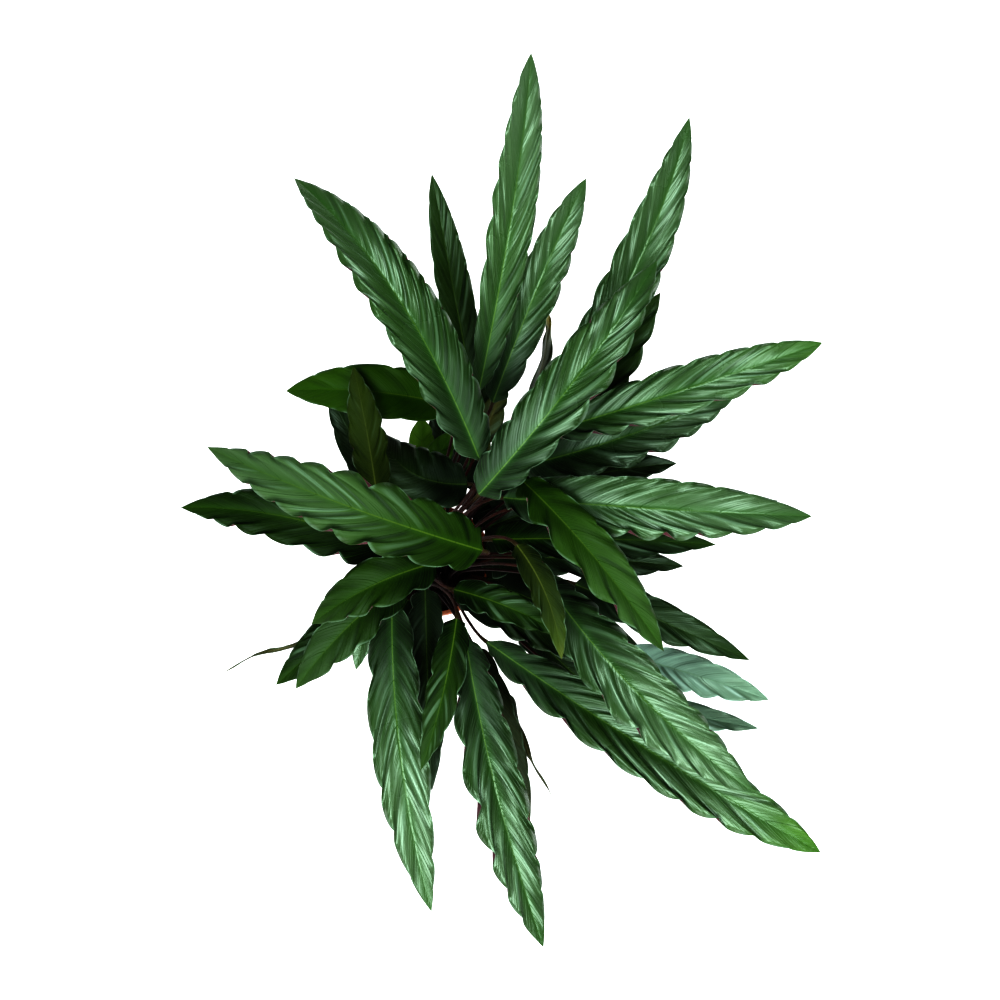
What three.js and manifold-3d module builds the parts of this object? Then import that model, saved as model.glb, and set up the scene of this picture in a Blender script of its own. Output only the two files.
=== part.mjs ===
// Potted velvet calathea: a standing plant with long ruffled leaves in a plain round pot.
// Lengths are in millimetres. +Z is up, +X is to the right and +Y is away from the viewer.
// The origin is the middle of the pot's base, where the pot stands.
import * as THREE from 'three';
import { mergeVertices } from 'three/addons/utils/BufferGeometryUtils.js';
import Module from 'manifold-3d';

const wasm = await Module();
wasm.setup();

const UP = new THREE.Vector3(0, 0, 1);

// Space that is left between pieces that touch
const FIT_GAP = 0.3;

// Pot: a thin tapered wall with a rolled rim and drain slots round the foot
const POT_HEIGHT = 120;
const POT_BASE_RADIUS = 42;
const POT_TOP_RADIUS = 56;
const POT_WALL = 1.8;
const POT_FLOOR = 2.4;
const RIM_REACH = 2.8;
const RIM_DEPTH = 8;
const RIM_ROUND = 0.9;
const POT_SIDES = 32;
const DRAIN_SLOTS = 8;
const DRAIN_WIDTH = 10;
const DRAIN_HEIGHT = 6;
const DRAIN_REACH = 7;

// Soil: fills the pot to below the rim, a little higher in the middle
const SOIL_TOP = 104;
const SOIL_CROWN = 4;
const SOIL_FLAT_RADIUS = 36;

// Stalks: one for each leaf, standing in a plain hole in the soil
const STALK_DEPTH = 24;
const SHEATH_RADIUS = 2.5;
const STALK_RADIUS = 1.7;
const KNEE_RADIUS = 2.0;
const KNEE_REACH = 26;
const RISE_REACH = 0.55;
const STALK_STEPS = [0, 0.22, 0.45, 0.66, 0.82, 0.93];
const HOLE_SIDES = 6;
const ROOT_SPACING = 9;
const ROOT_REACH = 44;
const HALF_REACH_LEAN = 0.35;
const SETTLE_ROUNDS = 80;

// Crown: the stalks lean together, so that their middle line ends beside the pot's axis
const CROWN_LEAN = [50, 10];
const CROWN_HEIGHT = 400;

// Blades: lance-shaped, folded along the midrib, with margins that wave along the side veins
const BLADE_THICKNESS = 1.0;
const FULLNESS = 1.25;
const TIP_HALF_WIDTH = 0.5;
const VEIN_SWEEP = 0.13;
const FOLD = 0.2;
const RUFFLE_HEIGHT = 0.17;
const SCALLOP = 0.11;
const RUFFLE_START = 0.08;
const RUFFLE_STRETCH = 1.25;

// Every ring round a leaf has six points: upper left, upper middle, upper right, lower right,
// lower middle, lower left. Round a stalk they lie at these angles, in degrees from its right.
const RING_ANGLES = [150, 90, 30, -30, -90, -150];
const RING_POINTS = RING_ANGLES.length;

// Each row is one leaf: number, collar (the top of the stalk), tip, rise of the arch,
// sideways sway, half width, where it is widest as a share of the blade, bank in degrees
// (above zero when the left margin is raised), strength of the ruffles, and how many there are
const LEAVES = [
  // Upper leaves
  [1, [51, 39, 400], [-116, 298, 405], 35, 14, 29, 0.45, 18, 1.0, 13],
  [3, [49, 112, 362], [96, 409, 425], 30, 6.5, 21, 0.5, 25, 1.0, 10],
  [4, [61, 109, 335], [147, 312, 375], 25, 0, 20, 0.45, 15, 1.0, 8],
  [7, [49, 10, 395], [204, 212, 425], 35, 11, 25, 0.42, 0, 1.0, 9],
  [12, [70, 14, 368], [338, -5, 380], 30, 8, 26, 0.45, 0, 1.0, 10],
  [14, [87, 25, 388], [206, -122, 385], 30, -1, 22, 0.45, -15, 1.2, 6],
  [21, [105, -53, 350], [278, -239, 385], 30, 15, 27, 0.48, 0, 1.0, 9],
  [22, [55, -105, 305], [345, -289, 320], 30, 7, 26, 0.55, 0, 1.0, 10],
  [23, [82, -34, 402], [119, -131, 405], 8, -7, 12, 0.4, 0, 1.0, 5],
  [36, [54, -39, 402], [-184, 52, 400], 38, -11, 27, 0.37, -12, 1.2, 10],
  // Middle leaves
  [6, [114, 94, 325], [242, 368, 385], 30, 15, 24, 0.43, 15, 1.0, 10],
  [9, [100, 75, 350], [352, 149, 390], 25, 8, 22, 0.52, 0, 1.0, 9],
  [10, [88, 56, 310], [287, 122, 335], 20, 10, 27, 0.42, 0, 1.0, 8],
  [24, [26, -58, 305], [122, -99, 312], 10, -3, 15, 0.42, 0, 1.0, 5],
  [26, [-30, -68, 305], [7, -343, 270], 30, 8, 24, 0.45, 0, 1.0, 7],
  [27, [30, -89, 345], [0, -220, 345], 8, -4, 15, 0.4, 0, 1.0, 5],
  [28, [37, -102, 318], [106, -371, 290], 30, 6.5, 24.5, 0.48, -15, 1.4, 8],
  [31, [12, -42, 358], [-100, -92, 325], 22, 3, 22, 0.4, 0, 1.0, 5],
  [32, [-19, -52, 318], [-119, -146, 280], 15, 4, 22, 0.4, 0, 1.0, 5],
  [37, [-15, -32, 325], [-222, 14, 325], 22, 9, 25, 0.4, 0, 1.0, 8],
  [38, [20, 110, 330], [-130, 124, 325], 22, 0, 25, 0.4, 0, 0.6, 5],
  [39, [-41, 15, 345], [-64, 136, 362], 10, 2, 16, 0.42, 0, 1.0, 6],
  // Lower leaves
  [2, [43, 132, 285], [3, 338, 330], 20, -1, 18, 0.42, 20, 0.5, 8],
  [5, [80, 103, 270], [110, 226, 300], 15, 14, 14, 0.4, 70, 1.0, 5],
  [8, [131, 85, 265], [222, 230, 300], 15, 0, 21, 0.4, 0, 1.0, 6],
  [11, [125, 51, 265], [235, 65, 285], 12, 0, 16, 0.4, 0, 1.0, 4],
  [13, [84, 18, 306], [323, 22, 318], 10, 0, 15, 0.35, 0, 1.0, 8],
  [15, [60, -8, 284], [268, -15, 296], 16, 0, 20, 0.4, 0, 1.0, 7],
  [16, [84, -22, 268], [241, -31, 270], 15, 0, 18, 0.4, 0, 1.0, 6],
  [17, [90, -15, 245], [218, -24, 240], 12, 0, 19, 0.4, 0, 1.0, 5],
  [18, [136, -52, 300], [296, -121, 290], 18, 2, 18, 0.38, 0, 1.0, 6],
  [19, [186, -113, 256], [314, -156, 280], 12, 0, 18, 0.4, 0, 1.0, 6],
  [20, [165, -153, 228], [312, -180, 235], 8, 0, 14, 0.4, 0, 1.0, 5],
  [25, [30, -57, 265], [165, -128, 268], 10, -5, 19, 0.4, 0, 1.0, 6],
  [29, [42, -107, 268], [96, -266, 240], 15, 0, 19, 0.4, 0, 1.0, 6],
  [30, [51, -117, 235], [117, -242, 215], 8, 0, 7, 0.4, 0, 1.0, 6],
  [33, [-45, -60, 272], [-143, -140, 245], 10, 0, 19, 0.4, 0, 1.0, 5],
  [34, [-66, -84, 246], [-196, -129, 240], 10, 4, 5, 0.4, 0, 1.0, 7],
  [35, [-52, -44, 216], [-73, -122, 198], 8, 0, 13, 0.4, 0, 1.0, 3],
  [40, [-30, 16, 245], [-100, 143, 262], 12, 0, 19, 0.4, 0, 1.0, 5],
  [41, [39, 37, 320], [-44, 92, 300], 12, -20, 26, 0.4, 0, 1.0, 5],
  [42, [-4, 66, 235], [24, 106, 250], 4, 0, 13, 0.42, 0, 0.6, 3],
  [43, [-10, 78, 213], [-10, 127, 222], 4, 0, 13, 0.45, 0, 0.6, 3],
  [44, [-3, -49, 255], [4, -238, 225], 12, 0, 19, 0.4, 0, 1.0, 7],
  [45, [44, 86, 235], [74, 153, 250], 6, 0, 13, 0.4, 0, 1.0, 3],
  // Lowest leaves, close round the stalks
  [46, [62, -10, 186], [190, 8, 205], 12, 0, 20, 0.4, 0, 1.0, 5],
  [47, [54, 52, 190], [136, 142, 212], 12, 0, 18, 0.4, 0, 1.0, 4],
  [48, [66, -34, 166], [206, -98, 188], 10, 0, 19, 0.4, 0, 1.0, 5],
  [49, [32, 64, 190], [56, 178, 212], 12, 0, 17, 0.4, 0, 1.0, 4],
  [50, [-44, 6, 182], [-130, 26, 196], 10, 0, 19, 0.4, 0, 1.0, 3],
  [51, [-40, -34, 166], [-92, -84, 172], 8, 0, 16, 0.4, 0, 1.0, 3],
  [52, [14, 84, 178], [4, 150, 186], 6, 0, 16, 0.4, 0, 1.0, 3],
  [53, [-26, -46, 150], [-62, -112, 158], 8, 0, 15, 0.4, 0, 1.0, 3],
  [54, [52, 27, 158], [138, 54, 170], 8, 0, 16, 0.4, 0, 1.0, 3],
  [55, [38, 45, 142], [140, 104, 152], 8, 0, 18, 0.4, 0, 1.0, 4],
  [56, [53, 4, 150], [150, -8, 166], 8, 0, 17, 0.4, 0, 1.0, 3],
  [57, [54, -23, 140], [166, -46, 152], 8, 0, 17, 0.4, 0, 1.0, 4],
  [58, [98, -84, 178], [206, -188, 188], 8, 0, 17, 0.45, 0, 1.0, 4],
];

// Colours with their roughness
const POT_LOOK = { color: 0xc4643c, roughness: 0.55, metalness: 0 };
const SOIL_LOOK = { color: 0x2b2019, roughness: 0.95, metalness: 0 };
const LEAF_LOOK = { color: 0x2c5a2e, roughness: 0.38, metalness: 0 };
const OLD_LEAF_LOOK = { color: 0x6a6a2c, roughness: 0.6, metalness: 0 };

// Numbers of the old leaves, which have turned olive or brown
const OLD_LEAVES = [5, 29, 30, 34, 45];

const MERGE_DISTANCE = 1e-4;

// Merged and free of slivers, so that it can be cut or joined
function closedMesh(geometry) {
  const plain = geometry.clone();
  plain.deleteAttribute('normal');
  plain.deleteAttribute('uv');
  const merged = mergeVertices(plain, MERGE_DISTANCE);
  const corners = Array.from(merged.index.array);
  const kept = [];
  for (let i = 0; i < corners.length; i += 3) {
    const [a, b, c] = corners.slice(i, i + 3);
    if (a !== b && b !== c && c !== a) {
      kept.push(a, b, c);
    }
  }
  merged.setIndex(kept);
  return merged;
}

function toSolid(geometry) {
  const closed = closedMesh(geometry);
  return new wasm.Manifold(new wasm.Mesh({
    numProp: 3,
    vertProperties: new Float32Array(closed.attributes.position.array),
    triVerts: new Uint32Array(closed.index.array),
  }));
}

function toGeometry(solid) {
  const mesh = solid.getMesh();
  const geometry = new THREE.BufferGeometry();
  geometry.setAttribute('position', new THREE.BufferAttribute(mesh.vertProperties, 3));
  geometry.setIndex(new THREE.BufferAttribute(mesh.triVerts, 1));
  geometry.computeVertexNormals();
  return geometry;
}

function namedPart(name, geometry, look) {
  const part = new THREE.Mesh(geometry, new THREE.MeshStandardMaterial(look));
  part.name = name;
  return part;
}

// A profile of [radius, height] pairs that is turned about the pot's axis
function turned(profile) {
  const points = profile.map(([radius, height]) => new THREE.Vector2(radius, height));
  const geometry = new THREE.LatheGeometry(points, POT_SIDES);
  geometry.rotateX(Math.PI / 2);
  return geometry;
}

// Outer radius of the pot's tapered wall at a height
function wallRadius(height) {
  const share = height / (POT_HEIGHT - RIM_DEPTH);
  return POT_BASE_RADIUS + (POT_TOP_RADIUS - POT_BASE_RADIUS) * Math.min(share, 1);
}

function buildPot() {
  const rimFoot = POT_HEIGHT - RIM_DEPTH;
  const rimRadius = POT_TOP_RADIUS + RIM_REACH;
  const inner = POT_TOP_RADIUS - POT_WALL;
  let pot = toSolid(turned([
    [0, 0],
    [POT_BASE_RADIUS, 0],
    [POT_TOP_RADIUS, rimFoot],
    [rimRadius - RIM_ROUND, rimFoot],
    [rimRadius, rimFoot + RIM_ROUND],
    [rimRadius, POT_HEIGHT - RIM_ROUND],
    [rimRadius - RIM_ROUND, POT_HEIGHT],
    [inner + RIM_ROUND, POT_HEIGHT],
    [inner, POT_HEIGHT - RIM_ROUND],
    [inner, rimFoot],
    [wallRadius(POT_FLOOR) - POT_WALL, POT_FLOOR],
    [0, POT_FLOOR],
  ]));
  for (let slot = 0; slot < DRAIN_SLOTS; slot += 1) {
    const cutter = new THREE.BoxGeometry(2 * DRAIN_REACH, DRAIN_WIDTH, 2 * DRAIN_HEIGHT);
    cutter.translate(POT_BASE_RADIUS, 0, 0);
    cutter.rotateZ(2 * Math.PI * (slot + 0.5) / DRAIN_SLOTS);
    pot = pot.subtract(toSolid(cutter));
  }
  return namedPart('pot', toGeometry(pot), POT_LOOK);
}

// Middle line of the crown at a height, from the pot's axis out to the lean of the crown
function crownLine(height) {
  const share = (height - SOIL_TOP) / (CROWN_HEIGHT - SOIL_TOP);
  return [CROWN_LEAN[0] * share, CROWN_LEAN[1] * share];
}

// Each root stands on its leaf's side of the pot, and further out the more the stalk leans.
// Roots that are too close push each other apart, and none goes past the root reach.
function settleRoots(leaves) {
  const roots = leaves.map((leaf) => {
    const [x, y] = crownLine(leaf.collar.z);
    const away = new THREE.Vector2(leaf.collar.x - x, leaf.collar.y - y);
    const lean = away.length() / (leaf.collar.z - SOIL_TOP);
    return away.setLength(ROOT_REACH * lean / (lean + HALF_REACH_LEAN));
  });
  for (let round = 0; round < SETTLE_ROUNDS; round += 1) {
    roots.forEach((root) => root.clampLength(0, ROOT_REACH));
    for (let i = 0; i < roots.length; i += 1) {
      for (let j = 0; j < i; j += 1) {
        const away = roots[i].clone().sub(roots[j]);
        const lack = ROOT_SPACING - away.length();
        if (lack > 0) {
          away.setLength(lack / 2);
          roots[i].add(away);
          roots[j].sub(away);
        }
      }
    }
  }
  return roots;
}

function readLeaf([number, collar, tip, rise, sway, halfWidth, widest, bank, ruffle, waves]) {
  const leaf = {
    name: `leaf_${String(number).padStart(2, '0')}`,
    look: OLD_LEAVES.includes(number) ? OLD_LEAF_LOOK : LEAF_LOOK,
    collar: new THREE.Vector3(...collar),
    tip: new THREE.Vector3(...tip),
    rise,
    sway,
    halfWidth,
    widest,
    ruffle,
    waves,
    bank: THREE.MathUtils.degToRad(bank),
  };
  leaf.side = leaf.tip.clone().sub(leaf.collar).cross(UP).normalize();
  return leaf;
}

// The midrib is a straight line from collar to tip, arched up and swayed sideways
function midribPoint(leaf, t) {
  const arch = 4 * t * (1 - t);
  return leaf.collar.clone().lerp(leaf.tip, t)
    .addScaledVector(UP, leaf.rise * arch)
    .addScaledVector(leaf.side, leaf.sway * arch);
}

// Directions at a place on the midrib: along it, to its right, and out of the upper face
function bladeFrame(leaf, t) {
  const slope = 4 * (1 - 2 * t);
  const forward = leaf.tip.clone().sub(leaf.collar)
    .addScaledVector(UP, leaf.rise * slope)
    .addScaledVector(leaf.side, leaf.sway * slope)
    .normalize();
  const level = forward.clone().cross(UP).normalize();
  const upright = level.clone().cross(forward);
  const up = upright.clone().multiplyScalar(Math.cos(leaf.bank))
    .addScaledVector(level, Math.sin(leaf.bank));
  const right = forward.clone().cross(up);
  return { forward, up, right };
}

// Half width along the blade: it swells from the base to the widest place and tapers to
// the tip, as a product of two powers that is 1 where the blade is widest
function halfWidthAt(leaf, t) {
  const { widest } = leaf;
  const swell = (t / widest) ** (FULLNESS * widest);
  const taper = ((1 - t) / (1 - widest)) ** (FULLNESS * (1 - widest));
  const shape = swell * taper;
  return Math.max(leaf.halfWidth * shape, TIP_HALF_WIDTH);
}

// Ruffles start just past the collar and fade out towards the tip
function ruffleFade(t) {
  const start = 1 - Math.max(0, 1 - t / RUFFLE_START) ** 2;
  return start * (1 - t ** 3);
}

// A point on the margin, reached by the side vein that leaves the midrib at s, where the
// ruffles have made a given number of turns. side is -1 for the left margin and 1 for the right.
function marginPoint(leaf, s, turns, side) {
  const t = Math.min(s + VEIN_SWEEP * 4 * s * (1 - s), 1);
  const { up, right } = bladeFrame(leaf, t);
  const wave = -side * Math.sin(2 * Math.PI * turns) * ruffleFade(t) * leaf.ruffle;
  const width = halfWidthAt(leaf, t) * (1 - SCALLOP * wave);
  const lift = FOLD * halfWidthAt(leaf, t) + RUFFLE_HEIGHT * leaf.halfWidth * wave;
  const point = midribPoint(leaf, t)
    .addScaledVector(right, side * width)
    .addScaledVector(up, lift);
  return { point, up };
}

// The ring round a stalk
function stalkRing(centre, up, right, radius) {
  return RING_ANGLES.map((degrees) => {
    const angle = THREE.MathUtils.degToRad(degrees);
    return centre.clone()
      .addScaledVector(right, radius * Math.cos(angle))
      .addScaledVector(up, radius * Math.sin(angle));
  });
}

// The ring round the blade, along the pair of side veins that a share of the ruffles lies
// before. The stretch makes the ruffles longer towards the tip.
function bladeRing(leaf, share) {
  const half = BLADE_THICKNESS / 2;
  const s = share ** RUFFLE_STRETCH;
  const rib = half + KNEE_RADIUS * (1 - s) ** 2;
  const left = marginPoint(leaf, s, leaf.waves * share, -1);
  const right = marginPoint(leaf, s, leaf.waves * share, 1);
  const middle = midribPoint(leaf, s);
  const { up } = bladeFrame(leaf, s);
  return [
    left.point.clone().addScaledVector(left.up, half),
    middle.clone().addScaledVector(up, half),
    right.point.clone().addScaledVector(right.up, half),
    right.point.clone().addScaledVector(right.up, -half),
    middle.clone().addScaledVector(up, -rib),
    left.point.clone().addScaledVector(left.up, -half),
  ];
}

// Rings from the foot of the stalk in the soil up to the collar. The path rises straight
// out of the soil and turns into the blade at the knee. The rings don't twist on the way.
function stalkRings(leaf, root) {
  const start = new THREE.Vector3(root.x, root.y, soilHeight(root.length()));
  const { forward, up } = bladeFrame(leaf, 0);
  const path = new THREE.CubicBezierCurve3(
    start,
    start.clone().addScaledVector(UP, RISE_REACH * (leaf.collar.z - start.z)),
    leaf.collar.clone().addScaledVector(forward, -KNEE_REACH),
    leaf.collar.clone(),
  );
  const rings = [];
  let upward = up;
  for (const step of [...STALK_STEPS, 1].reverse()) {
    const along = path.getTangent(step);
    upward = upward.clone().addScaledVector(along, -upward.dot(along)).normalize();
    const right = along.clone().cross(upward);
    const radius = step === 1 ? KNEE_RADIUS
      : STALK_RADIUS + (SHEATH_RADIUS - STALK_RADIUS) * (1 - step) ** 4;
    rings.unshift(stalkRing(path.getPoint(step), upward, right, radius));
  }
  const foot = rings[0].map((point) => point.clone().addScaledVector(UP, -STALK_DEPTH));
  return [foot, ...rings];
}

// Triangles that join neighbouring rings. The quads of the lower face are split the other
// way round in their own order, so that both faces have the same diagonals.
function skinRings(rings) {
  const positions = rings.flat().flatMap((point) => point.toArray());
  const corners = [];
  for (let ring = 0; ring + 1 < rings.length; ring += 1) {
    for (let k = 0; k < RING_POINTS; k += 1) {
      const next = (k + 1) % RING_POINTS;
      const [a, b] = [RING_POINTS * ring + k, RING_POINTS * ring + next];
      const [d, c] = [a + RING_POINTS, b + RING_POINTS];
      const onLowerFace = k === 3 || k === 4;
      if (onLowerFace) {
        corners.push(a, b, d, b, c, d);
      } else {
        corners.push(a, b, c, a, c, d);
      }
    }
  }
  const cap = [0, 1, 4, 0, 4, 5, 1, 2, 3, 1, 3, 4];
  const last = RING_POINTS * (rings.length - 1);
  corners.push(...cap.map((corner) => corner + last));
  corners.push(...cap.toReversed());
  const geometry = new THREE.BufferGeometry();
  geometry.setAttribute('position', new THREE.Float32BufferAttribute(positions, 3));
  geometry.setIndex(corners);
  geometry.computeVertexNormals();
  return geometry;
}

// One leaf: its stalk and its blade are grown as one body
function buildLeaf(leaf, root) {
  const rings = stalkRings(leaf, root);
  const halfWaves = 2 * leaf.waves;
  for (let j = 0; j < halfWaves; j += 1) {
    rings.push(bladeRing(leaf, (j + 0.5) / halfWaves));
  }
  rings.push(bladeRing(leaf, 1));
  return namedPart(leaf.name, skinRings(rings), leaf.look);
}

// Height of the soil at a distance from the pot's axis
function soilHeight(radius) {
  const fall = Math.max(0, radius - SOIL_FLAT_RADIUS) / (POT_TOP_RADIUS - SOIL_FLAT_RADIUS);
  return SOIL_TOP - SOIL_CROWN * fall;
}

function buildSoil(roots) {
  const edge = (height) => wallRadius(height) - POT_WALL - FIT_GAP;
  const low = POT_FLOOR + FIT_GAP;
  const high = SOIL_TOP - SOIL_CROWN;
  let soil = toSolid(turned([
    [0, low],
    [edge(low), low],
    [edge(high), high],
    [SOIL_FLAT_RADIUS, SOIL_TOP],
    [0, SOIL_TOP],
  ]));
  const holeRadius = (SHEATH_RADIUS + FIT_GAP) / Math.cos(Math.PI / HOLE_SIDES);
  for (const root of roots) {
    const hole = new THREE.CylinderGeometry(holeRadius, holeRadius, 2 * STALK_DEPTH, HOLE_SIDES);
    hole.rotateX(Math.PI / 2);
    hole.translate(root.x, root.y, soilHeight(root.length()) - FIT_GAP);
    soil = soil.subtract(toSolid(hole));
  }
  return namedPart('soil', toGeometry(soil), SOIL_LOOK);
}

const leaves = LEAVES.map(readLeaf);
const roots = settleRoots(leaves);
const plant = new THREE.Group();
plant.add(buildPot());
plant.add(buildSoil(roots));
leaves.forEach((leaf, i) => plant.add(buildLeaf(leaf, roots[i])));

export default plant;
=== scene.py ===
# %% [markdown]
# # A potted velvet calathea
# The plant stands in a small nursery pot and is seen almost from straight above: long
# lance-shaped leaves with ruffled margins, deep green and glossy on top, maroon underneath,
# on thin furry stalks. We build every leaf as one surface carried along its midrib, then the
# pot and the soil, and give each its finish.
#
# The construction model is loaded first. It fixes where everything stands, so each new piece
# takes the place of one of its solids.

# %% Load the model
import math
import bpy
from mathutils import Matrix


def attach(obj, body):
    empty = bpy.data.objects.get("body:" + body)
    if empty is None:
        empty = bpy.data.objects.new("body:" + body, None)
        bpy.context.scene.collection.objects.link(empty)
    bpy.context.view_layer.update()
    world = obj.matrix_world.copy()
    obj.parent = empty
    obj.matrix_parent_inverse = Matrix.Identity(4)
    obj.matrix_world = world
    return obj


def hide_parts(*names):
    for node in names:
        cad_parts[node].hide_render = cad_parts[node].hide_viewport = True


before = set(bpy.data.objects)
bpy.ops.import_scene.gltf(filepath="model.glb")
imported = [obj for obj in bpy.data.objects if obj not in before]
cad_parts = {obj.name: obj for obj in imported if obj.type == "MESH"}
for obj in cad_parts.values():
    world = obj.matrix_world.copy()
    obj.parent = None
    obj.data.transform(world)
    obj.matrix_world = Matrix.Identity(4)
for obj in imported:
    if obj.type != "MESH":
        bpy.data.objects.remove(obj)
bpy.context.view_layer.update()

from types import SimpleNamespace

import bpy
import numpy as np
from mathutils import Vector

# %% [markdown]
# ## Sizes
# A real plant gives few sizes that matter: the pot, the soil's height, the thickness of a
# blade and how its margins wave. They are in metres, with MM to write them in millimetres.
# The thickness and the waves follow further on, with the blade.

# %% Sizes
MM = 0.001
UP = np.array([0.0, 0.0, 1.0])

POT_HEIGHT = 120 * MM
POT_BASE_RADIUS = 42 * MM
POT_TOP_RADIUS = 56 * MM
POT_WALL = 1.8 * MM
POT_FLOOR = 2.4 * MM
RIM_REACH = 2.8 * MM
RIM_DEPTH = 8 * MM

SOIL_TOP = 104 * MM
SOIL_CROWN = 4 * MM
SOIL_FLAT_RADIUS = 36 * MM
FIT_GAP = 0.3 * MM

STALK_DEPTH = 24 * MM
SHEATH_RADIUS = 2.3 * MM
STALK_RADIUS = 1.35 * MM
KNEE_RADIUS = 1.8 * MM
KNEE_REACH = 26 * MM
RISE_REACH = 0.55

FULLNESS = 1.25
TIP_HALF_WIDTH = 0.5 * MM
VEIN_SWEEP = 0.13
FOLD = 0.2
RUFFLE_STRETCH = 1.25
print("pot in mm:", POT_HEIGHT / MM, "high,", 2 * (POT_TOP_RADIUS + RIM_REACH) / MM, "wide")
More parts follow.
